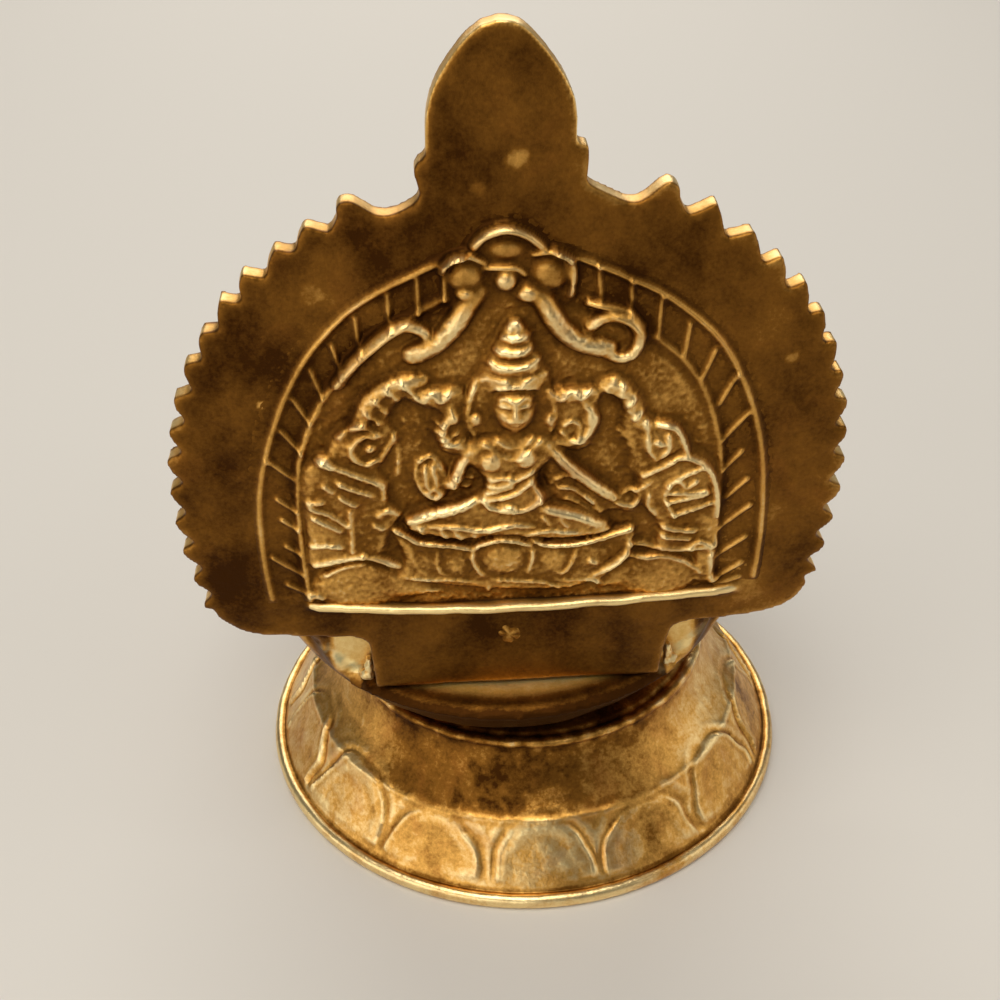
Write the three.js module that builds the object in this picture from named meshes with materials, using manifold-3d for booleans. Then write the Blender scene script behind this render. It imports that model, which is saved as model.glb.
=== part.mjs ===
// Small cast brass oil lamp: a round flared foot, a round oil bowl with a pointed wick lip, and an
// upright back plate with a toothed edge, a pointed finial and a seated figure in relief.
// Millimetres, +Z up. The relief looks along -Y, the wick lip points along +Y, and the lamp stands
// on z = 0 with the middle of its outline at the origin.
import * as THREE from 'three';
import { mergeVertices } from 'three/addons/utils/BufferGeometryUtils.js';
import Module from 'manifold-3d';

const wasm = await Module();
wasm.setup();

// Fits
const SEAT_GAP = 0.3; // film of braze between the cast pieces
const PIN_CLEARANCE = 0.3; // round a rivet or peg in its hole

// Foot
const FOOT_RADIUS = 30;
const FOOT_HEIGHT = 15.1;
const FOOT_TOP_RADIUS = 20.4;
const FOOT_WALL = 2.2;
const FOOT_TOP_THICKNESS = 2.4;
const RIM_HEIGHT = 1.5; // rolled rim at the floor
const RIM_WIDTH = 1.1;
const CREASE_RADIUS = 24.9; // where the petal band meets the neck
const CREASE_HEIGHT = 7.8;
const NECK_HOLLOW = 0.55; // how far the neck curves in from a straight cone
const TOP_BEAD = 0.35; // height of the bead round the top
const PETAL_COUNT = 14;
const PETAL_RISE = 0.55;
const PETAL_GAP = 0.9; // channel between two petals at the rim

// Bowl
const BOWL_OFFSET = -2.3; // the bowl was fixed a little to one side of the foot's axis
const BOWL_HEIGHT = 18.9;
const BOWL_BASE_RADIUS = 17.8;
const BOWL_RIM_RADIUS = 28.2;
const BOWL_WALL = 2.0;
const BOWL_FLOOR = 2.6;
const BELLY_LOW_RADIUS = 23.2; // the two handles of the belly's curve
const BELLY_LOW_RISE = 4.1;
const BELLY_HIGH_RADIUS = 27.5;
const BELLY_HIGH_RISE = 11.0;
const SEAT_DISTANCE = 18.0; // flat seat, measured from the bowl's axis
const SEAT_RISE = 8.4; // floor of the seat above the bowl's base
const SEAT_WALL = 2.2; // wall left between the seat and the oil
const SEAT_EDGE_RADIUS = 1.6; // worn round edge of the seat's floor
const LIP_REACH = 38.5; // tip of the wick lip from the bowl's axis
const LIP_WIDTH = 17;
const LIP_WALL = 1.8;
const LIP_DEPTH = 6.4; // depth of its channel where it leaves the bowl
const LIP_TIP_DEPTH = 2.4;

// Peg under the bowl, spread over a washer inside the foot
const PEG_DIAMETER = 7;
const PEG_HEAD_DIAMETER = 9.2;
const PEG_HEAD_HEIGHT = 1.2;
const WASHER_DIAMETER = 13;
const WASHER_THICKNESS = 1.2;

// Back plate
const PLATE_THICKNESS = 2.2;
const PLATE_BEVEL = 0.35;
const PLATE_CENTRE_RISE = 24.3; // centre of the toothed arc above the seat's floor
const PLATE_RADIUS = 30.9;
const PLATE_LEAN = 0.022; // the casting leans this much to the left for each millimetre up
const LEAN_LEVEL = 19.4; // where it crosses the bowl's axis
const TOOTH_DEPTH = 2.0; // near the top; half as much at the sides
const TEETH_PER_SIDE = 15;
const TOP_TOOTH = 1.35; // width of the top tooth against the others
const PLATE_SIDE = 29.1; // half width where the arc turns straight down
const CORNER_RISE = 12.0;
const CORNER_WIDTH = 25.4;
const LOWER_EDGE_RISE = 7.8;
const LOWER_EDGE_DROP = 1.3;
const TAB_TOP_WIDTH = 30.6;
const TAB_FOOT_WIDTH = 28.4;
const TAB_FILLET = 1.2;
const FINIAL_RISE = 65.4; // tip above the seat's floor
const FINIAL_WIDTH = 11.8;
const NECK_WIDTH = 13.8;
const NECK_RISE = 52.2;
const NECK_HEIGHT = 3.7;
const SHOULDER_DIP = 50.6;
const SHOULDER_WIDTH = 21.4;

// Frame of the relief
const LEDGE_RISE = 11.1; // top of the ledge above the seat's floor
const LEDGE_WIDTH = 42;
const LEDGE_THICKNESS = 0.9;
const LEDGE_END = 0.8; // how far the ledge stands out at its ends
const LEDGE_MIDDLE = 1.7;
const ARCH_RADIUS = 22.7;
const ARCH_CENTRE_RISE = 13.1; // centre of the arches above the ledge
const ARCH_BAND = 3.5;
const ARCH_LINE = 0.8;
const ARCH_HEIGHT = 0.7;
const ARCH_RIBS = 27;
const RIB_WIDTH = 0.5;
const RIB_HEIGHT = 0.45;
const RIB_TILT = 33; // degrees; the outer ends point up
const KEY_RADIUS = 2.8;

// Figure and elephants, on head heights
const FIGURE_X = 0.1;
const HEAD = 3.6;
const RELIEF = 1.0; // standing-out of the figure against its head height
const ELEPHANT_X = 14.2;
const ELEPHANT_HEAD = 4.4;
const SEAT_OF_FIGURE = 7.0; // height of the lotus seat and its petals
const LOTUS_WIDTH = 20.4;

// Rivet through the tab
const RIVET_DIAMETER = 2.4;
const RIVET_RISE = 6.3;
const RIVET_SIDE = -0.6; // a little to the left of the bowl's axis
const RIVET_HEAD_DIAMETER = 4.0;
const RIVET_HEAD_HEIGHT = 0.9;
const RIVET_STAKE = 0.25; // what shows of it on the relief side

// Beads of braze at the tab's corners
const BRAZE_SIZE = 1.7;
const BRAZE_HEIGHT = 2.6;

const ROUND = 56;
const FINEST = 0.02; // detail smaller than this isn't kept
const rad = THREE.MathUtils.degToRad;

// A mesh with shared corners and no collapsed triangles.
function weld(geometry) {
  const plain = geometry.clone();
  plain.deleteAttribute('normal');
  plain.deleteAttribute('uv');
  const merged = mergeVertices(plain, 1e-4);
  const kept = [];
  const index = merged.index.array;
  for (let i = 0; i < index.length; i += 3) {
    const [a, b, c] = [index[i], index[i + 1], index[i + 2]];
    if (a !== b && b !== c && c !== a) kept.push(a, b, c);
  }
  merged.setIndex(kept);
  return merged;
}

function solid(geometry) {
  const welded = weld(geometry);
  return new wasm.Manifold(new wasm.Mesh({
    numProp: 3,
    vertProperties: new Float32Array(welded.attributes.position.array),
    triVerts: new Uint32Array(welded.index.array),
  }));
}

// A solid's mesh, with the slivers that cuts leave behind taken out.
function geometryOf(body) {
  const mesh = body.asOriginal().simplify(FINEST).getMesh();
  const geometry = new THREE.BufferGeometry();
  geometry.setAttribute('position', new THREE.BufferAttribute(new Float32Array(mesh.vertProperties), 3));
  geometry.setIndex([...mesh.triVerts]);
  geometry.computeVertexNormals();
  return geometry;
}

// A solid of revolution about Z from a profile of [radius, height] that starts and ends on the axis.
function turned(profile, segments = ROUND) {
  const points = profile.map(([r, z]) => new THREE.Vector2(r, z));
  return new THREE.LatheGeometry(points, segments).rotateX(Math.PI / 2);
}

function shapeOf(points) {
  return new THREE.Shape(points.map(([x, y]) => new THREE.Vector2(x, y)));
}

// An outline drawn in plan and raised from z0 to z1.
function raised(shape, z0, z1, curveSegments = 12) {
  return new THREE.ExtrudeGeometry(shape, { depth: z1 - z0, bevelEnabled: false, curveSegments })
    .translate(0, 0, z0);
}

// A side view drawn as [y, z] and carried across from -width / 2 to width / 2 along X.
function across(points, width) {
  return new THREE.ExtrudeGeometry(shapeOf(points), { depth: width, bevelEnabled: false })
    .translate(0, 0, -width / 2)
    .applyMatrix4(new THREE.Matrix4().makeBasis(
      new THREE.Vector3(0, 1, 0), new THREE.Vector3(0, 0, 1), new THREE.Vector3(1, 0, 0)));
}

function brass(colour, roughness) {
  return new THREE.MeshStandardMaterial({ color: colour, roughness, metalness: 1 });
}

// Foot

// The petal band is a ring of points whose height over the plain cone follows each petal's outline.
function petalRise(angle, along) {
  const pitch = (2 * Math.PI) / PETAL_COUNT;
  const offset = Math.abs(angle - Math.round(angle / pitch) * pitch) * FOOT_RADIUS;
  const half = (pitch * FOOT_RADIUS - PETAL_GAP) / 2;
  const reach = half * Math.sqrt(Math.max(0, 1 - along ** 2.4));
  return offset < reach ? PETAL_RISE * Math.sqrt(1 - (offset / reach) ** 4) * (1 - along ** 6) : 0;
}

function footGeometry() {
  const around = PETAL_COUNT * 6;
  const bandStart = [FOOT_RADIUS - RIM_WIDTH, RIM_HEIGHT + 0.15];
  const bandEnd = [CREASE_RADIUS, CREASE_HEIGHT];
  const bandRows = 4;
  const slope = new THREE.Vector2(bandStart[0] - bandEnd[0], bandStart[1] - bandEnd[1]);
  const outward = new THREE.Vector2(-slope.y, slope.x).normalize();
  const hole = PEG_DIAMETER / 2 + PIN_CLEARANCE;
  const topInner = FOOT_HEIGHT - FOOT_TOP_THICKNESS;
  const inside = (r) => r - FOOT_WALL;
  const neckR = (CREASE_RADIUS + FOOT_TOP_RADIUS) / 2 - NECK_HOLLOW;
  const neckZ = (CREASE_HEIGHT + FOOT_HEIGHT) / 2 - NECK_HOLLOW;
  // Closed section: up the inside, over the top, down the neck and the petal band, round the rim.
  const section = [
    [FOOT_RADIUS - 0.5, 0], [FOOT_RADIUS - FOOT_WALL, 0], [inside(bandStart[0]), RIM_HEIGHT],
    [inside(CREASE_RADIUS), CREASE_HEIGHT - FOOT_WALL * 0.6], [inside(neckR), neckZ - FOOT_WALL * 0.4],
    [inside(FOOT_TOP_RADIUS), topInner], [WASHER_DIAMETER / 2 + 1.5, topInner], [hole, topInner],
    [hole, FOOT_HEIGHT], [FOOT_TOP_RADIUS - 1.5, FOOT_HEIGHT], [FOOT_TOP_RADIUS - 1.0, FOOT_HEIGHT - 0.2],
    [FOOT_TOP_RADIUS - 0.45, FOOT_HEIGHT], [FOOT_TOP_RADIUS, FOOT_HEIGHT - TOP_BEAD],
    [FOOT_TOP_RADIUS + 0.05, FOOT_HEIGHT - 3 * TOP_BEAD], [neckR, neckZ],
  ];
  const petalRows = [];
  for (let i = 0; i <= bandRows; i += 1) {
    const along = 1 - i / bandRows;
    petalRows.push({ row: section.length, along });
    section.push([
      bandStart[0] - slope.x * along,
      bandStart[1] - slope.y * along,
    ]);
  }
  section.push(
    [FOOT_RADIUS - RIM_WIDTH * 0.8, RIM_HEIGHT - 0.25], [FOOT_RADIUS - RIM_WIDTH * 0.45, RIM_HEIGHT],
    [FOOT_RADIUS - 0.15, RIM_HEIGHT * 0.75], [FOOT_RADIUS, RIM_HEIGHT * 0.35],
  );
  const offsetHole = new THREE.Vector2(BOWL_OFFSET, 0);
  const positions = [];
  const index = [];
  const petal = new Map(petalRows.map(({ row, along }) => [row, along]));
  for (let a = 0; a < around; a += 1) {
    const angle = (a / around) * 2 * Math.PI;
    for (let k = 0; k < section.length; k += 1) {
      let [r, z] = section[k];
      if (petal.has(k)) {
        const rise = petalRise(angle, petal.get(k));
        r += outward.x * rise;
        z += outward.y * rise;
      }
      // The hole and the flat round it follow the bowl's axis, the rest follows the foot's.
      const shift = k >= 6 && k <= 8 ? offsetHole.x : 0;
      positions.push(shift + r * Math.sin(angle), -r * Math.cos(angle), z);
      const b = (a + 1) % around;
      const next = (k + 1) % section.length;
      const [p, q] = [a * section.length + k, b * section.length + k];
      const [s, t] = [a * section.length + next, b * section.length + next];
      index.push(p, s, t, p, t, q);
    }
  }
  const geometry = new THREE.BufferGeometry();
  geometry.setAttribute('position', new THREE.Float32BufferAttribute(positions, 3));
  geometry.setIndex(index);
  return geometry;
}

// Bowl

const bowlBase = FOOT_HEIGHT;
const bowlRim = bowlBase + BOWL_HEIGHT;
const seatFloor = bowlBase + SEAT_RISE;

function bellyCurve() {
  return new THREE.CubicBezierCurve(
    new THREE.Vector2(BOWL_BASE_RADIUS, bowlBase),
    new THREE.Vector2(BELLY_LOW_RADIUS, bowlBase + BELLY_LOW_RISE),
    new THREE.Vector2(BELLY_HIGH_RADIUS, bowlBase + BELLY_HIGH_RISE),
    new THREE.Vector2(BOWL_RIM_RADIUS, bowlRim),
  );
}

// Plan of the wick lip: two curves from the bowl's wall to a blunt point.
function lipPlan(inset) {
  const half = LIP_WIDTH / 2 - inset;
  const root = BOWL_RIM_RADIUS - BOWL_WALL - 7;
  const tip = LIP_REACH - inset * 1.6;
  const shape = new THREE.Shape();
  shape.moveTo(half, root);
  shape.lineTo(half, root + 4);
  shape.bezierCurveTo(half, BOWL_RIM_RADIUS, 1.8 - inset * 0.4, tip - 2.5, 0.6, tip);
  shape.lineTo(-0.6, tip);
  shape.bezierCurveTo(-1.8 + inset * 0.4, tip - 2.5, -half, BOWL_RIM_RADIUS, -half, root + 4);
  shape.lineTo(-half, root);
  return shape;
}

function lipSide(drop) {
  const root = BOWL_RIM_RADIUS - BOWL_WALL - 8;
  const top = bowlRim + (drop ? 0 : 1);
  return [
    [root, top], [root, bowlRim - LIP_DEPTH - drop], [BOWL_RIM_RADIUS - 2, bowlRim - LIP_DEPTH - drop],
    [LIP_REACH, bowlRim - LIP_TIP_DEPTH - drop], [LIP_REACH + 1, bowlRim - LIP_TIP_DEPTH - drop],
    [LIP_REACH + 1, top],
  ].reverse();
}

function bowlSolid() {
  const curve = bellyCurve();
  const outer = [[0, bowlBase], ...curve.getPoints(8).map((p) => [p.x, p.y]), [0, bowlRim]];
  const floor = bowlBase + BOWL_FLOOR;
  const inner = [];
  for (let i = 0; i <= 8; i += 1) {
    const p = curve.getPoint(i / 8);
    const t = curve.getTangent(i / 8);
    const q = [p.x - t.y * BOWL_WALL, p.y + t.x * BOWL_WALL];
    if (q[1] > floor + 0.6) inner.push(q);
  }
  const cavity = [
    [0, floor], [inner[0][0] - 2.2, floor], ...inner.filter(([, z]) => z < bowlRim),
    [BOWL_RIM_RADIUS - BOWL_WALL, bowlRim + 1], [0, bowlRim + 1],
  ];
  const far = BOWL_RIM_RADIUS + 5;
  const box = (y0, y1, z0, z1) => solid(
    new THREE.BoxGeometry(2 * far, y1 - y0, z1 - z0).translate(0, (y0 + y1) / 2, (z0 + z1) / 2));
  const oil = solid(turned(cavity))
    .subtract(box(-far, -SEAT_DISTANCE + SEAT_WALL, bowlBase, bowlRim + 2))
    .add(solid(raised(lipPlan(LIP_WALL), bowlBase, bowlRim + 2)).intersect(solid(across(lipSide(0), 40))));
  const lip = solid(raised(lipPlan(0), bowlBase, bowlRim + 2)).intersect(solid(across(lipSide(LIP_WALL), 40)));
  // Floor of the seat, its outer edge worn round.
  const edge = radiusAt(curve, seatFloor);
  const worn = [[edge - SEAT_EDGE_RADIUS, seatFloor + 1]];
  for (let i = 0; i <= 4; i += 1) {
    const a = rad(90 - i * 18);
    worn.push([
      edge - SEAT_EDGE_RADIUS + SEAT_EDGE_RADIUS * Math.cos(a),
      seatFloor - SEAT_EDGE_RADIUS + SEAT_EDGE_RADIUS * Math.sin(a),
    ]);
  }
  worn.push([far, worn.at(-1)[1]], [far, seatFloor + 1]);
  const ring = new THREE.LatheGeometry([...worn, worn[0]].map(([r, z]) => new THREE.Vector2(r, z)), ROUND)
    .rotateX(Math.PI / 2);
  const wear = solid(ring).intersect(box(-far, -SEAT_DISTANCE, bowlBase, bowlRim));
  const seat = box(-far, -SEAT_DISTANCE, seatFloor, bowlRim + 2);
  const bore = pinAlongY(RIVET_DIAMETER / 2 + PIN_CLEARANCE, -SEAT_DISTANCE - 1, -SEAT_DISTANCE + SEAT_WALL + 1);
  return solid(turned(outer)).add(lip).subtract(oil).subtract(seat).subtract(wear).subtract(bore)
    .add(solid(turned(pegProfile(), 32)));
}

function radiusAt(curve, z) {
  for (let i = 0; i < 200; i += 1) {
    const p = curve.getPoint(i / 200);
    if (p.y >= z) return p.x;
  }
  return BOWL_RIM_RADIUS;
}

// The peg goes down through the foot's top and the washer, and its end is spread under the washer.
function pegProfile() {
  const r = PEG_DIAMETER / 2;
  const under = FOOT_HEIGHT - FOOT_TOP_THICKNESS - WASHER_THICKNESS - 2 * SEAT_GAP;
  return [
    [0, under - PEG_HEAD_HEIGHT], [PEG_HEAD_DIAMETER / 2 - 1, under - PEG_HEAD_HEIGHT],
    [PEG_HEAD_DIAMETER / 2, under - PEG_HEAD_HEIGHT / 2], [PEG_HEAD_DIAMETER / 2, under], [r, under],
    [r, bowlBase + 0.5], [0, bowlBase + 0.5],
  ];
}

function pinAlongY(radius, y0, y1) {
  return solid(new THREE.CylinderGeometry(radius, radius, y1 - y0, 24)
    .translate(RIVET_SIDE, (y0 + y1) / 2, seatFloor + SEAT_GAP + RIVET_RISE));
}

function washerGeometry() {
  const top = FOOT_HEIGHT - FOOT_TOP_THICKNESS - SEAT_GAP;
  const [r0, r1] = [PEG_DIAMETER / 2 + PIN_CLEARANCE, WASHER_DIAMETER / 2];
  return new THREE.LatheGeometry([
    [r0, top - WASHER_THICKNESS], [r1, top - WASHER_THICKNESS], [r1, top], [r0, top],
    [r0, top - WASHER_THICKNESS],
  ].map(([r, z]) => new THREE.Vector2(r, z)), 40).rotateX(Math.PI / 2);
}

// Back plate, drawn face on: u to the right, v up from the seat's floor, w towards the viewer.

// How far the leaning casting is off the bowl's axis at a height.
function leaned(v) {
  return PLATE_LEAN * (LEAN_LEVEL - v);
}

// Half width of the tab at a height.
function tabSide(v) {
  const full = LOWER_EDGE_RISE - LOWER_EDGE_DROP - TAB_FILLET;
  return (TAB_FOOT_WIDTH + (TAB_TOP_WIDTH - TAB_FOOT_WIDTH) * Math.min(1, v / full)) / 2;
}

// One tooth between two notches. Its upper flank runs nearly level, so it is steep at the sides of
// the plate and sloping near the top, and its outer flank falls back to the next notch.
function toothPoints(from, to) {
  const points = [];
  const lean = Math.max(0, Math.sin(rad((from + to) / 2)));
  const rise = 0.1 + 0.3 * lean;
  const fall = 0.46 + 0.3 * lean;
  const depth = TOOTH_DEPTH * (0.5 + 0.5 * lean);
  const steps = [
    [0, 0], [rise * 0.55, 0.62], [rise, 0.92], [(rise + fall) / 2, 1.02], [fall, 0.94],
    [(fall + 1) / 2, 0.6],
  ];
  for (const [s, h] of steps) {
    const angle = rad(from + (to - from) * s);
    const arc = angle < 0 ? Math.max(PLATE_RADIUS, PLATE_SIDE / Math.cos(angle)) : PLATE_RADIUS;
    const r = arc - depth * (1 - h);
    points.push([r * Math.cos(angle), PLATE_CENTRE_RISE + r * Math.sin(angle)]);
  }
  return points;
}

// Right half of the plate's outline, from the middle of the tab's foot up to the finial's tip.
function plateSide() {
  const points = [[0, 0], [TAB_FOOT_WIDTH / 2, 0]];
  const top = TAB_TOP_WIDTH / 2;
  const lower = LOWER_EDGE_RISE - LOWER_EDGE_DROP;
  for (let i = 0; i <= 3; i += 1) {
    const a = rad(180 - i * 30);
    points.push([
      top + TAB_FILLET + TAB_FILLET * Math.cos(a),
      lower - TAB_FILLET + TAB_FILLET * Math.sin(a),
    ]);
  }
  points.push([CORNER_WIDTH, LOWER_EDGE_RISE]);
  const corner = new THREE.QuadraticBezierCurve(
    new THREE.Vector2(CORNER_WIDTH, LOWER_EDGE_RISE),
    new THREE.Vector2(PLATE_SIDE - 0.6, LOWER_EDGE_RISE + 0.9),
    new THREE.Vector2(PLATE_SIDE - 0.3, CORNER_RISE));
  points.push(...corner.getPoints(4).slice(1).map((p) => [p.x, p.y]));
  // The teeth share the edge between the corner and the shoulder.
  const level = (u, v) => THREE.MathUtils.radToDeg(Math.atan2(v - PLATE_CENTRE_RISE, u));
  const lowest = level(PLATE_SIDE - 0.3, CORNER_RISE);
  const highest = level(SHOULDER_WIDTH / 2, SHOULDER_DIP);
  const pitch = (highest - lowest) / (TEETH_PER_SIDE - 1 + TOP_TOOTH);
  for (let i = 0; i < TEETH_PER_SIDE - 1; i += 1) {
    points.push(...toothPoints(lowest + (i + 1) * pitch, lowest + i * pitch).reverse());
  }
  // Top tooth, which runs straight into the shoulder.
  const last = lowest + (TEETH_PER_SIDE - 1) * pitch;
  const root = PLATE_RADIUS - TOOTH_DEPTH * 0.95;
  for (const [share, h] of [[0, 0], [0.2, 0.4], [0.36, 0.9], [0.52, 1.05], [0.68, 0.85], [0.86, 0.25]]) {
    const r = root + TOOTH_DEPTH * h;
    const angle = rad(last + share * TOP_TOOTH * pitch);
    points.push([r * Math.cos(angle), PLATE_CENTRE_RISE + r * Math.sin(angle)]);
  }
  const shoulder = new THREE.QuadraticBezierCurve(
    new THREE.Vector2(SHOULDER_WIDTH / 2, SHOULDER_DIP),
    new THREE.Vector2(NECK_WIDTH / 2 + 0.4, SHOULDER_DIP - 0.3),
    new THREE.Vector2(NECK_WIDTH / 2, NECK_RISE));
  points.push(...shoulder.getPoints(4).map((p) => [p.x, p.y]));
  points.push([NECK_WIDTH / 2, NECK_RISE + NECK_HEIGHT]);
  const base = NECK_RISE + NECK_HEIGHT;
  const rise = FINIAL_RISE - base;
  const ogive = new THREE.CubicBezierCurve(
    new THREE.Vector2(FINIAL_WIDTH / 2, base),
    new THREE.Vector2(FINIAL_WIDTH / 2, base + rise * 0.49),
    new THREE.Vector2(FINIAL_WIDTH * 0.345, base + rise * 0.89),
    new THREE.Vector2(0, FINIAL_RISE));
  points.push(...ogive.getPoints(10).map((p) => [p.x, p.y]));
  return points;
}

function plateBody() {
  const right = plateSide();
  const left = right.slice(1, -1).map(([u, v]) => [-u, v]).reverse();
  const geometry = new THREE.ExtrudeGeometry(shapeOf([...right, ...left]), {
    depth: PLATE_THICKNESS - 2 * PLATE_BEVEL,
    bevelEnabled: true,
    bevelThickness: PLATE_BEVEL,
    bevelSize: PLATE_BEVEL,
    bevelOffset: -PLATE_BEVEL,
    bevelSegments: 1,
  });
  return solid(geometry.translate(0, 0, PLATE_BEVEL - PLATE_THICKNESS));
}

// A raised line along an arch: up one leg, round and down the other.
function archLine(radius) {
  const [outer, inner] = [radius + ARCH_LINE / 2, radius - ARCH_LINE / 2];
  const legs = -ARCH_CENTRE_RISE - LEDGE_THICKNESS / 2; // they end inside the ledge
  const shape = new THREE.Shape();
  shape.moveTo(outer, legs);
  shape.absarc(0, 0, outer, 0, Math.PI, false);
  shape.lineTo(-outer, legs);
  shape.lineTo(-inner, legs);
  shape.absarc(0, 0, inner, Math.PI, 0, true);
  shape.lineTo(inner, legs);
  return solid(raised(shape, -0.5, ARCH_HEIGHT, 20).translate(0, LEDGE_RISE + ARCH_CENTRE_RISE, 0));
}

// Short ribs across the band between the two arch lines, evenly spaced along its length. Their
// outer ends point up, less so near the crown.
function archRibs() {
  const radius = ARCH_RADIUS - ARCH_BAND / 2;
  const length = Math.PI * radius + 2 * ARCH_CENTRE_RISE;
  const ribs = [];
  for (let i = 0; i < ARCH_RIBS; i += 1) {
    const along = ((i + 0.5) / ARCH_RIBS) * length - ARCH_CENTRE_RISE;
    const turn = THREE.MathUtils.clamp(along / radius, 0, Math.PI);
    const down = along < 0 ? along : Math.min(0, Math.PI * radius - along);
    const tilt = rad(RIB_TILT) * THREE.MathUtils.clamp((Math.PI / 2 - turn) / 0.5, -1, 1);
    const rib = new THREE.BoxGeometry(ARCH_BAND / Math.cos(tilt), RIB_WIDTH, RIB_HEIGHT + 0.5);
    rib.rotateZ(turn + tilt);
    rib.translate(radius * Math.cos(turn), radius * Math.sin(turn) + down, RIB_HEIGHT / 2 - 0.25);
    ribs.push(solid(rib.translate(0, LEDGE_RISE + ARCH_CENTRE_RISE, 0)));
  }
  return wasm.Manifold.union(ribs);
}

function keyArch() {
  const shape = new THREE.Shape();
  shape.absarc(0, 0, KEY_RADIUS, 0, Math.PI, false);
  shape.lineTo(-(KEY_RADIUS - ARCH_LINE), 0);
  shape.absarc(0, 0, KEY_RADIUS - ARCH_LINE, Math.PI, 0, true);
  shape.lineTo(KEY_RADIUS, 0);
  const rise = LEDGE_RISE + ARCH_CENTRE_RISE + ARCH_RADIUS - ARCH_LINE;
  return solid(raised(shape, -0.5, ARCH_HEIGHT + 0.2, 8).translate(0, rise, 0));
}

// The ledge under the relief: a thin shelf that bows forward in the middle.
function ledge() {
  const half = LEDGE_WIDTH / 2;
  const shape = new THREE.Shape();
  shape.moveTo(-half, -0.5);
  shape.lineTo(half, -0.5);
  shape.lineTo(half, LEDGE_END);
  shape.quadraticCurveTo(0, 2 * LEDGE_MIDDLE - LEDGE_END, -half, LEDGE_END);
  return solid(new THREE.ExtrudeGeometry(shape, { depth: LEDGE_THICKNESS, bevelEnabled: false, curveSegments: 14 })
    .rotateX(Math.PI / 2).translate(0, LEDGE_RISE, 0));
}

// A rounded mass of the relief, half of it inside the plate.
function mass(u, v, width, height, depth, tilt = 0) {
  const ball = new THREE.SphereGeometry(1, 10, 6).rotateX(Math.PI / 2);
  ball.scale(width / 2, height / 2, depth).rotateZ(rad(tilt)).translate(u, v, 0);
  return solid(ball);
}

// A rounded limb, ribbon or trunk through a few points of the face.
function limb(points, thickness, depth) {
  const path = new THREE.CatmullRomCurve3(points.map(([u, v]) => new THREE.Vector3(u, v, 0)));
  const ring = [];
  for (let i = 0; i < 6; i += 1) {
    const a = (i / 6) * 2 * Math.PI;
    ring.push([0.5 * Math.cos(a), 0.5 * Math.sin(a)]);
  }
  const tube = new THREE.ExtrudeGeometry(shapeOf(ring), {
    steps: 3 * (points.length - 1), bevelEnabled: false, extrudePath: path,
  });
  const welded = weld(tube);
  const position = welded.attributes.position;
  // The section is drawn one millimetre wide; it is spread to its width and depth about the path.
  const samples = path.getSpacedPoints(3 * (points.length - 1));
  for (let i = 0; i < position.count; i += 1) {
    const p = new THREE.Vector3().fromBufferAttribute(position, i);
    let near = samples[0];
    for (const s of samples) if (s.distanceTo(p) < near.distanceTo(p)) near = s;
    p.sub(near);
    position.setXYZ(i, near.x + p.x * thickness, near.y + p.y * thickness, near.z + p.z * 2 * depth);
  }
  return solid(welded);
}

function figure() {
  const h = HEAD;
  const d = RELIEF;
  const base = LEDGE_RISE + SEAT_OF_FIGURE;
  const lap = base + 0.45 * h;
  const shoulder = lap + 2.25 * h;
  const face = shoulder + 1.25 * h;
  const parts = [];
  const add = (u, v, w, t, deep, tilt) => parts.push(mass(u, v, w, t, deep * d, tilt));
  add(0, face, 0.95 * h, 1.15 * h, 1.9);
  add(0, face - 0.75 * h, 0.45 * h, 0.7 * h, 1.3);
  for (let i = 0; i < 5; i += 1) {
    add(0, face + (0.6 + 0.4 * i) * h, (1.5 - 0.2 * i) * h, 0.5 * h, 1.7 - 0.12 * i);
  }
  add(0, shoulder - 0.1 * h, 3.0 * h, 0.9 * h, 1.3);
  add(0, shoulder - 0.75 * h, 1.9 * h, 1.5 * h, 1.6);
  add(0, lap + 0.75 * h, 1.35 * h, 1.6 * h, 1.35);
  add(0, lap + 0.15 * h, 2.9 * h, 0.9 * h, 1.8);
  for (const side of [-1, 1]) {
    add(side * 0.45 * h, shoulder - 0.65 * h, 0.8 * h, 0.75 * h, 2.0);
    add(side * 0.62 * h, face - 0.15 * h, 0.35 * h, 0.8 * h, 1.2);
    add(side * 1.75 * h, lap - 0.1 * h, 2.7 * h, 0.95 * h, 1.9, side * -8);
    add(side * 1.8 * h, face + 0.3 * h, 1.25 * h, 0.95 * h, 1.3, side * 20);
    parts.push(limb([[side * 1.2 * h, shoulder], [side * 1.9 * h, shoulder + 0.2 * h],
      [side * 1.85 * h, face]], 0.6 * h, 1.0 * d));
  }
  parts.push(limb([[-1.25 * h, shoulder - 0.2 * h], [-1.9 * h, shoulder - 1.1 * h],
    [-2.2 * h, shoulder - 0.9 * h]], 0.62 * h, 1.3 * d));
  parts.push(limb([[1.25 * h, shoulder - 0.2 * h], [2.0 * h, shoulder - 1.2 * h],
    [2.7 * h, shoulder - 1.65 * h]], 0.62 * h, 1.3 * d));
  add(-2.25 * h, shoulder - 0.75 * h, 1.0 * h, 1.15 * h, 1.7);
  add(2.75 * h, shoulder - 1.65 * h, 0.7 * h, 0.8 * h, 1.4);
  // Crossed shins over the seat.
  parts.push(limb([[-2.6 * h, lap - 0.2 * h], [0, lap - 0.5 * h], [2.2 * h, lap - 0.35 * h]], 0.7 * h, 1.8 * d));
  return wasm.Manifold.union(parts).translate([FIGURE_X, 0, 0]);
}

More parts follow.
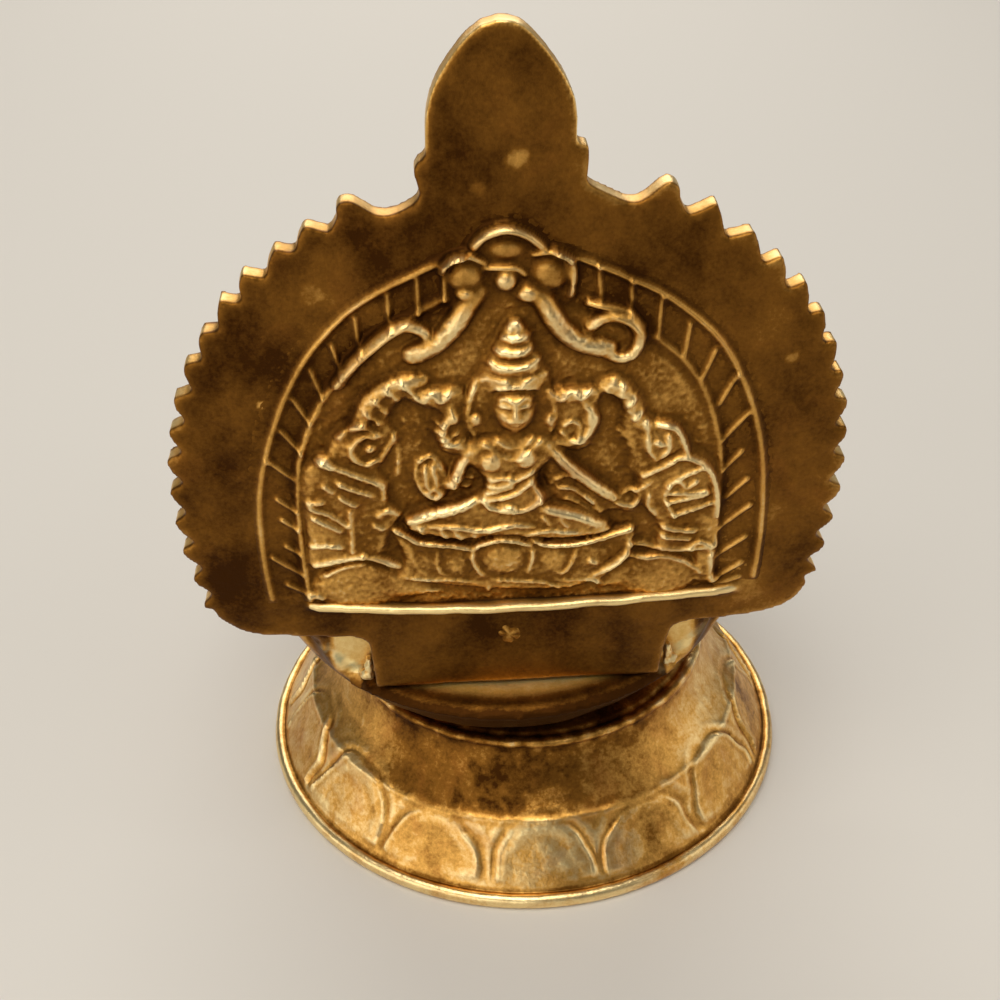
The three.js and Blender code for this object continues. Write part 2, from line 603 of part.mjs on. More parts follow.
// Lotus seat: a row of rounded petals, wider at the top, over a smaller turned-down row.
function lotus() {
  const parts = [];
  const rows = [[0.72, 1, 7], [0.28, 0.86, 7]];
  for (const [level, spread, count] of rows) {
    for (let i = 0; i < count; i += 1) {
      const u = ((i + 0.5) / count - 0.5) * LOTUS_WIDTH * spread;
      parts.push(mass(u, LEDGE_RISE + SEAT_OF_FIGURE * level * 0.86, (LOTUS_WIDTH * spread * 1.12) / count,
        SEAT_OF_FIGURE * 0.5, 1.5 * RELIEF));
    }
  }
  return wasm.Manifold.union(parts).translate([FIGURE_X, 0, 0]);
}

// Elephant in side view with its trunk raised to the figure, drawn for the right side.
function elephant(side) {
  const e = ELEPHANT_HEAD;
  const d = RELIEF;
  const parts = [];
  const at = (u) => side * (ELEPHANT_X + u * e);
  const v = (k) => LEDGE_RISE + k * e;
  const add = (u, k, w, t, deep, tilt = 0) => parts.push(mass(at(u), v(k), w * e, t * e, deep * d, side * tilt));
  add(0.25, 2.2, 1.7, 2.2, 1.3, 12);
  add(0.05, 1.3, 1.5, 1.5, 1.2);
  add(-0.15, 3.75, 1.2, 1.2, 1.6);
  add(0.42, 3.55, 0.8, 1.2, 1.2, -15);
  add(-0.1, 0.35, 1.5, 0.7, 1.1, -10);
  parts.push(limb([[at(-0.45), v(3.5)], [at(-0.75), v(4.3)], [at(-0.55), v(5.0)], [at(-1.15), v(5.35)],
    [at(-1.8), v(5.05)]], 0.62 * e, 1.1 * d));
  return wasm.Manifold.union(parts);
}

// Ribbon that falls from the key of the arch and ends in a scroll, drawn for the right side.
function ribbon(side) {
  const top = LEDGE_RISE + ARCH_CENTRE_RISE + ARCH_RADIUS - KEY_RADIUS;
  const path = [[0.07, 0], [0.8, -0.6], [1.35, -1.95], [2.2, -2.65], [3.05, -2.5], [3.55, -1.9], [3.05, -1.3],
    [2.5, -1.6]];
  const k = KEY_RADIUS;
  return limb(path.map(([u, v]) => [FIGURE_X + side * u * k, top + v * k]), 0.55 * k, 1.1 * RELIEF);
}

function backPlate() {
  const knot = mass(FIGURE_X, LEDGE_RISE + ARCH_CENTRE_RISE + ARCH_RADIUS - KEY_RADIUS - 0.4, 3.4, 2.6, 1.2);
  const bore = solid(new THREE.CylinderGeometry(RIVET_DIAMETER / 2 + PIN_CLEARANCE,
    RIVET_DIAMETER / 2 + PIN_CLEARANCE, 4 * PLATE_THICKNESS, 24)
    .rotateX(Math.PI / 2).translate(RIVET_SIDE, RIVET_RISE, 0));
  const reach = 4 * PLATE_RADIUS;
  const front = new THREE.BoxGeometry(reach, reach, reach).translate(0, 0, (reach - PLATE_THICKNESS) / 2);
  const relief = wasm.Manifold.union([
    archLine(ARCH_RADIUS), archLine(ARCH_RADIUS - ARCH_BAND), archRibs(), keyArch(), ledge(),
    figure(), lotus(), elephant(-1), elephant(1), ribbon(-1), ribbon(1), knot,
  ]).intersect(solid(front));
  return plateBody().add(relief)
    .transform([1, 0, 0, 0, -PLATE_LEAN, 1, 0, 0, 0, 0, 1, 0, leaned(0), 0, 0, 1])
    .subtract(bore);
}

// Rivet and braze

function rivetGeometry() {
  const r = RIVET_DIAMETER / 2;
  const face = SEAT_GAP + PLATE_THICKNESS;
  const head = SEAT_WALL + SEAT_GAP;
  return new THREE.LatheGeometry([
    [0, -face - RIVET_STAKE], [r * 0.8, -face - RIVET_STAKE], [r, -face + 0.1], [r, head],
    [RIVET_HEAD_DIAMETER / 2, head], [RIVET_HEAD_DIAMETER / 2 - 0.1, head + RIVET_HEAD_HEIGHT * 0.5],
    [RIVET_HEAD_DIAMETER / 4, head + RIVET_HEAD_HEIGHT], [0, head + RIVET_HEAD_HEIGHT],
  ].map(([x, y]) => new THREE.Vector2(x, y)), 24);
}

// A bead of braze in the corner between the tab's side, the seat's wall and its floor. Its inner
// side follows the tab's.
function brazeGeometry(side) {
  const profile = [[0, 0], [1, 0], [0.8, 0.35], [0.35, 1], [0, 1]];
  const bead = profile.map(([out, up]) => {
    const v = up * BRAZE_HEIGHT;
    return [leaned(v) + side * (tabSide(v) + SEAT_GAP + out * BRAZE_SIZE), v];
  });
  return new THREE.ExtrudeGeometry(shapeOf(bead), { depth: PLATE_THICKNESS * 0.6, bevelEnabled: false })
    .rotateX(Math.PI / 2);
}

// Assembly

function piece(name, geometry, material) {
  const mesh = new THREE.Mesh(geometry, material);
  mesh.name = name;
  return mesh;
}

const lamp = new THREE.Group();
lamp.add(piece('foot', footGeometry(), brass(0xc09048, 0.38)));

const upper = new THREE.Group();
upper.position.x = BOWL_OFFSET;
lamp.add(upper);
upper.add(piece('bowl', geometryOf(bowlSolid()), brass(0x8a6430, 0.42)));
upper.add(piece('peg_washer', washerGeometry(), brass(0x9a7438, 0.5)));

const plate = piece('back_plate', geometryOf(backPlate()), brass(0x6b4a1e, 0.4));
plate.rotation.x = Math.PI / 2;
plate.position.set(0, -SEAT_DISTANCE - SEAT_GAP - PLATE_THICKNESS, seatFloor + SEAT_GAP);
upper.add(plate);

const rivet = piece('tab_rivet', rivetGeometry(), brass(0xa07a3c, 0.35));
rivet.position.set(RIVET_SIDE, -SEAT_DISTANCE, seatFloor + SEAT_GAP + RIVET_RISE);
upper.add(rivet);

for (const side of [-1, 1]) {
  const bead = piece(side < 0 ? 'braze_left' : 'braze_right', brazeGeometry(side), brass(0xe0c060, 0.45));
  bead.position.set(0, -SEAT_DISTANCE - SEAT_GAP, seatFloor + SEAT_GAP);
  upper.add(bead);
}

// The lamp is set with the middle of its outline over the origin.
const outline = new THREE.Box3().setFromObject(lamp, true);
lamp.position.set(-(outline.min.x + outline.max.x) / 2, -(outline.min.y + outline.max.y) / 2, 0);

export default lamp;
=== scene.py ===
"""Small cast brass oil lamp with a toothed, figured back plate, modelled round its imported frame."""
import math

import bmesh
import bpy
import numpy as np
from mathutils import Matrix, Vector


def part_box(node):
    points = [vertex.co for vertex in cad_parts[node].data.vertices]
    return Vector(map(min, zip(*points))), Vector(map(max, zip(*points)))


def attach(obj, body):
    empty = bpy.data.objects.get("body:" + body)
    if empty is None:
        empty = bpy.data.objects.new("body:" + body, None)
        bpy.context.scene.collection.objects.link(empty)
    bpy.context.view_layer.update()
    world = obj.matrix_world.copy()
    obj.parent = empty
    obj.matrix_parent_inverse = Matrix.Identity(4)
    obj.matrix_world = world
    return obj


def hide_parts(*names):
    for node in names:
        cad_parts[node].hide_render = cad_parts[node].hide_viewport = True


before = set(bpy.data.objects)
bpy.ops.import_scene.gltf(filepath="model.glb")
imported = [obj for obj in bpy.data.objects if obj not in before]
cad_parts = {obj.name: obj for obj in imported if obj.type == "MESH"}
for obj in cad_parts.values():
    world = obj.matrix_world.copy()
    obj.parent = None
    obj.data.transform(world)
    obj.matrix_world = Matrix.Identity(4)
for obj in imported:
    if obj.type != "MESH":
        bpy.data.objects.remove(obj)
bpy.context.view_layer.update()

bl_info = {
    "name": "Brass Oil Lamp",
    "version": (1, 0, 0),
    "blender": (4, 5, 0),
    "location": "View3D > Sidebar > Lamp",
    "description": "Builds a cast brass oil lamp with a petal foot, an oil bowl and a figured back plate",
    "category": "Add Mesh",
}

MM = 0.001
TAU = 2 * math.pi


def middle(node):
    """Centre of a node's box, in millimetres."""
    low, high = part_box(node)
    return (low + high) / 2 / MM


# Places read from the frame, in millimetres.
FOOT_X, FOOT_Y, _ = middle("foot")
BOWL_X, BOWL_Y, _ = middle("peg_washer")
FOOT_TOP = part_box("foot")[1].z / MM
BOWL_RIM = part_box("bowl")[1].z / MM
LIP_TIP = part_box("bowl")[1].y / MM
SEAT_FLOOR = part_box("braze_left")[0].z / MM - 0.3
PLATE_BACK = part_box("braze_left")[1].y / MM
SEAT_FACE = PLATE_BACK + 0.3

# Fineness of the meshes: steps round a full turn, and cells in millimetres.
FOOT_STEPS, BOWL_STEPS, PEG_STEPS, WASHER_STEPS, RIVET_STEPS = 720, 160, 48, 96, 80
BOWL_CELL, LEDGE_CELL, PLATE_CELL, BRAZE_CELL = 0.36, 0.25, 0.29, 0.12

# Depth of the chased petals that their marks are drawn for, in millimetres.
PETAL_RISE = 0.45


def size(name, text, millimetres, low=0.1, high=200):
    """A length that a user can change, given in millimetres."""
    return bpy.props.FloatProperty(
        name=name, description=text, default=millimetres * MM, min=low * MM, max=high * MM,
        unit="LENGTH", precision=5)


def hexed(code):
    """An sRGB hex colour as linear values."""
    channels = [int(code[i:i + 2], 16) / 255 for i in (1, 3, 5)]
    return [c / 12.92 if c <= 0.04045 else ((c + 0.055) / 1.055) ** 2.4 for c in channels]


def colour(name, text, code):
    """A colour that a user can change, given in sRGB hex."""
    return bpy.props.FloatVectorProperty(
        name=name, description=text, default=hexed(code), min=0, max=1, size=3, subtype="COLOR")


class LampSizes(bpy.types.PropertyGroup):
    """Sizes of the lamp's cast pieces."""
    petal_rise: size("Petal rise", "How far the petals stand out of the foot", PETAL_RISE, 0, 2)
    bowl_wall: size("Bowl wall", "Wall of the oil bowl", 2.0)
    plate_thickness: size("Plate thickness", "Thickness of the back plate", 2.2)
    relief_cell: size("Relief cell", "Spacing of the points that the relief is shaped with", 0.155, 0.1, 1)
    petals: bpy.props.IntProperty(
        name="Petals", description="Petals round the foot", default=14, min=6, max=30)


class LampColours(bpy.types.PropertyGroup):
    """Colours of the lamp's metal and of the stage."""
    # The rubbed and dark tones also serve as painted highlight and painted shade, where the pieces' stored
    # values push the colour to them.
    bright: colour("Rubbed brass", "Brass where hands and cloth keep it bright", "#fadfa2")
    golden: colour("Golden brass", "Brass under a thin golden tarnish", "#d6a251")
    brown: colour("Brown brass", "Brass under a brown tarnish", "#83571f")
    dark: colour("Dark brass", "Tarnish in the hollows", "#40240a")
    red: colour("Reddish brass", "Reddish copper stains", "#a4602b")
    filed: colour("Filed brass", "Bare yellow brass where it is filed flat", "#ffdc70")
    green: colour("Verdigris", "Grey-green copper salts", "#8b9474")
    floor: colour("Floor", "Pale floor", "#d9d6d0")


# Shaping

def start():
    """Leaves edit mode and deselects everything, because an operator acts on all that is selected."""
    if bpy.context.mode != "OBJECT":
        bpy.ops.object.mode_set(mode="OBJECT")
    bpy.ops.object.select_all(action="DESELECT")


def pick(*pieces):
    """Selects pieces and nothing else, with the first one active."""
    start()
    for piece in pieces:
        piece.select_set(True)
    bpy.context.view_layer.objects.active = pieces[0]


def edit():
    """Opens the active piece for editing."""
    bpy.ops.object.mode_set(mode="EDIT")


def done():
    """Ends editing."""
    bpy.ops.object.mode_set(mode="OBJECT")


def face_out():
    """Turns the faces of the shape in edit mode outwards."""
    bpy.ops.mesh.select_all(action="SELECT")
    bpy.ops.mesh.normals_make_consistent(inside=False)


def chain(name, points, closed=False):
    """Draws edges point by point, in millimetres, from one vertex."""
    start()
    bpy.ops.mesh.primitive_plane_add(size=MM)
    piece = bpy.context.object
    piece.name = piece.data.name = name
    edit()
    bpy.ops.mesh.merge(type="CENTER")
    bpy.ops.transform.translate(value=[c * MM for c in points[0]])
    for a, b in zip(points, points[1:]):
        step = [(q - p) * MM for p, q in zip(a, b)]
        bpy.ops.mesh.extrude_vertices_move(TRANSFORM_OT_translate={"value": step})
    if closed:
        mesh = bmesh.from_edit_mesh(piece.data)
        mesh.verts.ensure_lookup_table()
        for v in mesh.verts:
            v.select = v.index in (0, len(mesh.verts) - 1)
        mesh.select_flush_mode()
        bmesh.update_edit_mesh(piece.data)
        bpy.ops.mesh.edge_face_add()
    done()
    return piece


def swept(piece, steps, centre, axis):
    """Turns a piece's drawn edges once round an axis through a point, in millimetres."""
    edit()
    bpy.ops.mesh.select_all(action="SELECT")
    bpy.ops.mesh.spin(steps=steps, angle=TAU, center=[c * MM for c in centre], axis=axis)
    bpy.ops.mesh.select_all(action="SELECT")
    bpy.ops.mesh.remove_doubles(threshold=1e-6)
    face_out()
    done()
    return piece


def spun(name, profile, steps, x=BOWL_X, y=BOWL_Y, closed=False):
    """Spins a side profile of [radius, height] about an upright axis."""
    piece = chain(name, [(x + r, y, z) for r, z in profile], closed)
    return swept(piece, steps, (x, y, 0), (0, 0, 1))


def slab(name, outline, depth):
    """Fills a drawn outline and extrudes it by a vector, in millimetres."""
    piece = chain(name, outline, closed=True)
    edit()
    bpy.ops.mesh.select_all(action="SELECT")
    bpy.ops.mesh.edge_face_add()
    bpy.ops.mesh.extrude_region_move(TRANSFORM_OT_translate={"value": [c * MM for c in depth]})
    face_out()
    done()
    return piece


def fitted(piece, widths, place):
    """Stretches a new primitive and moves it, in millimetres, within its mesh."""
    piece.data.transform(Matrix.Diagonal([c * MM for c in widths] + [1]))
    piece.data.transform(Matrix.Translation([c * MM for c in place]))
    return piece


def block(name, low, high):
    """A block between two corners, which only cuts other pieces."""
    start()
    bpy.ops.mesh.primitive_cube_add(size=1)
    cube = bpy.context.object
    cube.name = name
    return fitted(cube, [h - l for l, h in zip(low, high)], [(l + h) / 2 for l, h in zip(low, high)])


def apply(piece, kind, **settings):
    """Adds a modifier and applies it."""
    pick(piece)
    modifier = piece.modifiers.new(kind.title(), kind)
    for key, value in settings.items():
        setattr(modifier, key, value)
    bpy.ops.object.modifier_apply(modifier=modifier.name)
    if not piece.data.polygons:
        raise RuntimeError(f"{kind.lower()} leaves nothing of {piece.name}")


def joined(piece, tool, operation):
    """Joins, cuts or keeps what a piece shares with a tool, which goes."""
    apply(piece, "BOOLEAN", operation=operation, solver="EXACT", object=tool)
    bpy.data.objects.remove(tool)


def merged(name, pieces):
    """Several pieces as one object."""
    pick(*pieces)
    bpy.ops.object.join()
    pieces[0].name = pieces[0].data.name = name
    return pieces[0]


def softened(piece, cell, rounds):
    """Gives a piece an even mesh and wears its edges round, as casting and handling do."""
    apply(piece, "REMESH", mode="VOXEL", voxel_size=cell * MM, adaptivity=0)
    apply(piece, "SMOOTH", factor=0.5, iterations=rounds)


def points_of(piece):
    """A piece's vertices, in millimetres."""
    co = np.empty(len(piece.data.vertices) * 3)
    piece.data.vertices.foreach_get("co", co)
    return co.reshape(-1, 3) / MM


def set_points(piece, points):
    """Moves a piece's vertices to these places, in millimetres."""
    piece.data.vertices.foreach_set("co", (points * MM).ravel())
    piece.data.update()


def normals_of(piece):
    """The way that the surface faces at each vertex."""
    no = np.empty(len(piece.data.vertices) * 3)
    piece.data.vertex_normals.foreach_get("vector", no)
    return no.reshape(-1, 3)


def waves(points, length, seed, count=28):
    """Smooth unevenness of about one wavelength, from -1 to 1 for the most part."""
    dice = np.random.default_rng(seed)
    way = dice.normal(size=(count, points.shape[1]))
    way /= np.linalg.norm(way, axis=1)[:, None]
    k = TAU / (length * dice.uniform(0.7, 1.5, count))
    shift = dice.uniform(0, TAU, count)
    total = np.zeros(len(points))
    for w, f, s in zip(way, k, shift):
        total += np.cos(points @ w * f + s)
    return total / math.sqrt(count / 2) / 2


def eased(value, low, high):
    """Rises smoothly from 0 at low to 1 at high."""
    t = np.clip((value - low) / (high - low), 0, 1)
    return t * t * (3 - 2 * t)


def uneven(piece, *layers, where=None):
    """Moves a surface in and out by layers of (wavelength, height, seed), in millimetres."""
    points, normals = points_of(piece), normals_of(piece)
    move = sum(height * waves(points, length, seed) for length, height, seed in layers)
    if where is not None:
        move = move * where
    set_points(piece, points + normals * move[:, None])


def wear(piece, **amounts):
    """Stores at each vertex how rubbed, stained, crusted with salts or filed the metal is, together with
    painted light and shade laid into its colour.
    """
    for name, amount in amounts.items():
        layer = piece.data.attributes.new(name, "FLOAT", "POINT")
        layer.data.foreach_set("value", np.full(len(piece.data.vertices), amount, np.float32))


def bends(piece, rounds, strength):
    """How much a surface bulges (above 0) or is hollow (below 0) at each vertex."""
    points, normals = points_of(piece), normals_of(piece)
    ends = np.empty(len(piece.data.edges) * 2, int)
    piece.data.edges.foreach_get("vertices", ends)
    a, b = ends.reshape(-1, 2).T
    along = points[b] - points[a]
    bend = ((normals[b] - normals[a]) * along).sum(1) / np.maximum((along ** 2).sum(1), 1e-8)
    count = np.bincount(a, minlength=len(points)) + np.bincount(b, minlength=len(points))
    count = np.maximum(count, 1)

    def spread(values_a, values_b):
        return (np.bincount(a, values_a, len(points)) + np.bincount(b, values_b, len(points))) / count

    value = np.clip(spread(bend, bend), -4, 4)
    for _ in range(rounds):
        value = 0.5 * value + 0.5 * spread(value[b], value[a])
    return np.tanh(value * strength)


def finish_piece(piece, metal, slot, angle, *nodes):
    """Coats a piece, smooths faces that meet under an angle in degrees, hangs it from the root and hides
    the parts it replaces.
    """
    coat(piece, metal)
    pick(piece)
    bpy.ops.object.shade_smooth_by_angle(angle=math.radians(angle))
    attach(piece, "root")
    if nodes:
        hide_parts(*nodes)


# Metal

def add(tree, kind, inputs=(), **settings):
    """Adds a node with its settings, and with values or links on its inputs."""
    made = tree.nodes.new(kind)
    for key, value in settings.items():
        setattr(made, key, value)
    for key, value in dict(inputs).items():
        socket = made.inputs[key]
        if isinstance(value, bpy.types.NodeSocket):
            tree.links.new(value, socket)
        else:
            socket.default_value = value
    return made


def cast_brass(name, level, rub, contrast=0.5, roughness=(0.52, 0.30), grain=0.026):
    """Cast brass, tarnished in its hollows and rubbed bright on its edges, with painted light and shade
    laid in through its stored values.

    level is how bright the metal is on the whole, from 0, dark tarnish, to 1, rubbed bare;
    its rubbing amount is how much brighter its edges are, and how much darker its hollows, which on the
    relief is painted shade. The eye sees patches of brown and golden tarnish a few millimetres wide, fine
    mottling, and a soft sheen that is sharper where the metal is bare.
    """
    c = bpy.context.scene.lamp_colours
    metal = bpy.data.materials.new(name)
    metal.use_nodes = True
    tree = metal.node_tree
    tree.nodes.clear()
    place = add(tree, "ShaderNodeTexCoord").outputs["Object"]

    def noise(wide, detail, rough, distortion=0.0):
        """Unevenness of a width in millimetres."""
        return add(tree, "ShaderNodeTexNoise", {
            "Vector": place, "Scale": 1 / (wide * MM), "Detail": detail, "Roughness": rough,
            "Distortion": distortion}).outputs["Fac"]

    def maths(operation, a, b, clamp=False):
        """A sum on two values."""
        return add(tree, "ShaderNodeMath", {0: a, 1: b}, operation=operation,
                   use_clamp=clamp).outputs[0]

    def swing(pattern, amount):
        """A pattern's swing about its middle."""
        return maths("MULTIPLY", maths("SUBTRACT", pattern, 0.5), amount)

    def stored(kind):
        """A value kept on the piece's vertices."""
        return add(tree, "ShaderNodeAttribute", attribute_name=kind).outputs["Fac"]

    def tinted(under, over, amount):
        """A colour shifted towards another by an amount: inputs 6 and 7 and output 2 hold colours."""
        return add(tree, "ShaderNodeMix", {0: amount, 6: under, 7: (*over, 1)},
                   data_type="RGBA").outputs[2]

    patches, mottle, specks = noise(9, 5, 0.6, 0.8), noise(1.6, 6, 0.65), noise(0.35, 4, 0.6)
    value = maths("ADD", swing(patches, 1.1 * contrast), swing(mottle, 0.9 * contrast))
    value = maths("ADD", value, swing(specks, 0.7 * contrast))
    # The stored rubbing and stain also carry painted highlight and painted shade into the colour.
    value = maths("ADD", value, maths("MULTIPLY", stored("rub"), rub))
    value = maths("SUBTRACT", value, stored("stain"))
    value = maths("ADD", value, level, clamp=True)
    ramp = add(tree, "ShaderNodeValToRGB", {0: value})
    stops = ((0.0, c.dark), (0.34, c.brown), (0.66, c.golden), (1.0, c.bright))
    while len(ramp.color_ramp.elements) < len(stops):
        ramp.color_ramp.elements.new(0.5)
    for element, (at, tone) in zip(ramp.color_ramp.elements, stops):
        element.position = at
        element.color = (*tone, 1)

    # Copper shows as a reddish blush in patches, filed faces are yellow, and salts lie on top.
    blush = maths("SUBTRACT", noise(5.3, 5, 0.6, 0.6), 0.52, clamp=True)
    blush = maths("MULTIPLY", blush, 7.0 * contrast, clamp=True)
    blush = maths("MULTIPLY", blush, maths("MULTIPLY", value, 0.75))
    filed = stored("filed")
    salt = maths("MULTIPLY", stored("salt"), maths("ADD", maths("MULTIPLY", mottle, 2.6), -0.6), clamp=True)
    shade = tinted(ramp.outputs["Color"], c.red, blush)
    shade = tinted(shade, c.filed, maths("POWER", filed, 3.0))
    shade = tinted(shade, c.green, salt)

    # Bare metal is smoother than tarnish, and file marks and salts scatter the light.
    sheen = add(tree, "ShaderNodeMapRange", {
        "Value": value, "To Min": roughness[0], "To Max": roughness[1]}).outputs[0]
    sheen = maths("ADD", sheen, swing(mottle, 0.16))
    sheen = maths("ADD", sheen, maths("MULTIPLY", filed, 0.12))
    sheen = maths("ADD", sheen, maths("MULTIPLY", salt, 0.3), clamp=True)
    dull = maths("ADD", salt, maths("MULTIPLY", filed, 0.3))
    height = maths("ADD", maths("MULTIPLY", mottle, 0.7), maths("MULTIPLY", specks, 0.3))
    bump = add(tree, "ShaderNodeBump", {"Height": height, "Distance": grain * MM * 4, "Strength": 1.0})
    shader = add(tree, "ShaderNodeBsdfPrincipled", {
        "Base Color": shade, "Roughness": sheen, "Normal": bump.outputs[0],
        "Metallic": maths("SUBTRACT", 1.0, dull, clamp=True)})
    add(tree, "ShaderNodeOutputMaterial", {"Surface": shader.outputs[0]})
    return metal


def matt_paint(name, shade, roughness):
    """Plain matt paint, which takes soft shadows and hardly shines."""
    surface = bpy.data.materials.new(name)
    surface.use_nodes = True
    shader = surface.node_tree.nodes["Principled BSDF"]
    shader.inputs["Base Color"].default_value = (*shade, 1)
    shader.inputs["Roughness"].default_value = roughness
    shader.inputs["Specular IOR Level"].default_value = 0.2
    return surface


def coat(piece, metal):
    """Gives a piece one material."""
    piece.data.materials.clear()
    piece.data.materials.append(metal)


# Foot

# Ends of the sloping band that carries the petals: radius and height.
BAND_LOW, BAND_HIGH = (28.6, 1.75), (24.9, 7.8)
# Radius at which an angle round the band is turned into a length.
BAND_RADIUS = 27
# A petal's length up the band and half its width at the root.
PETAL_REACH, PETAL_HALF = 7.3, 5.25
# How far up the band the crease under the neck lies.
CREASE_UP = 7.35
# The foot's outside, simply: heights, and the radius at each.
FOOT_HEIGHTS, FOOT_RADII = [0, 1.5, 1.75, 7.8, 15.1], [29.5, 28.6, 28.6, 24.9, 20.4]


def bezier(points, count):
    """Points along a curve with two handles."""
    p0, p1, p2, p3 = (np.array(p, float) for p in points)
    t = np.linspace(0, 1, count)[:, None]
    curve = (1 - t) ** 3 * p0 + 3 * t * (1 - t) ** 2 * p1 + 3 * t * t * (1 - t) * p2 + t ** 3 * p3
    return [tuple(p) for p in curve]


def foot_profile():
    """Section through the foot's wall: up outside from the rolled rim, and down again inside."""
    rim = [(28.0, 0), (29.3, 0), (29.7, 0.1), (29.89, 0.38), (29.95, 0.75), (29.9, 1.1),
           (29.74, 1.4), (29.48, 1.56), (29.18, 1.58), (28.98, 1.5), (28.84, 1.45), (28.72, 1.52)]
    band = bezier([BAND_LOW, (27.3, 3.7), (26.0, 5.9), BAND_HIGH], 38)
    neck = bezier([(24.72, 8.02), (23.3, 9.2), (21.2, 11.3), (20.5, 13.8)], 24)
    top = [(20.42, 14.1), (20.5, 14.3), (20.6, 14.5), (20.6, 14.75), (20.45, 14.95), (20.2, 15.06),
           (19.9, 15.08), (19.6, 14.98), (19.4, 14.86), (19.2, 14.86), (19.0, 15.0), (18.7, 15.1),
           (17.5, 15.1), (12, 15.1), (6.5, 15.1), (3.9, 15.1), (3.9, 12.7), (6.5, 12.7), (12, 12.7)]
    inside = [(17.2, 12.7), (18.0, 12.5), (18.3, 12.0)]
    inside += bezier([(18.5, 11.4), (19.6, 8.6), (22.4, 5.8), (24.6, 3.6)], 14)
    inside += [(26.4, 1.6), (27.3, 0.6), (27.7, 0.2)]
    return rim + band + neck + top + inside


def petal_marks(angle, along, petals):
    """Height of the chased petals at an angle (degrees, 0 at the front) and a way up the band."""
    pitch = 360 / petals
    dice = np.random.default_rng(11)
    best = np.full(len(angle), 99.0)
    span = np.full(len(angle), PETAL_REACH)
    for i in range(petals):
        centre = 1.0 + i * pitch + dice.uniform(-1.3, 1.3)
        # Petals at the sides reach a little higher than those in front and behind.
        aside = abs(((centre + 180) % 360) - 180)
        side = eased(aside, 25, 70) * (1 - eased(aside, 100, 150))
        high = PETAL_REACH * (1 + 0.22 * side) + dice.uniform(-0.25, 0.25)
        half = PETAL_HALF + dice.uniform(-0.25, 0.35)
        x = np.abs((angle - centre + 180) % 360 - 180) * math.radians(BAND_RADIUS)
        y = np.maximum(along, 0) / high
        f = (x / half) ** 2.2 + y ** 2.8 - 1
        slope = np.hypot(2.2 * (x / half) ** 1.2 / half, 2.8 * y ** 1.8 / high)
        distance = f / np.maximum(slope, 0.08)
        span = np.where(distance < best, high, span)
        best = np.minimum(best, distance)
    # The lines between the petals are worn low in front, most of all at the petals' tips.
    facing = 1 - eased(np.abs((angle + 180) % 360 - 180), 30, 62)
    front = (1 - 0.40 * facing) * (1 - 0.75 * facing * eased(along, 5.4, 6.8))
    front *= 1 - eased(along, 7.0, 9.5)
    mark = 0.16 * eased(-best, 0, 0.9) - 0.10 * eased(-best, 0.9, 3.2)
    mark += 0.32 * np.exp(-((best + 0.16) / 0.26) ** 2) * front
    mark -= 0.20 * np.exp(-((best - 0.30) / 0.26) ** 2) * front
    tips = eased(along, 0.3 * PETAL_REACH, 0.6 * PETAL_REACH)
    mark += 0.07 * np.exp(-((best - 1.15) / 0.26) ** 2) * tips
    return mark * eased(along, 0.3, 1.2) * (1 - eased(along, span + 0.6, span + 1.8))


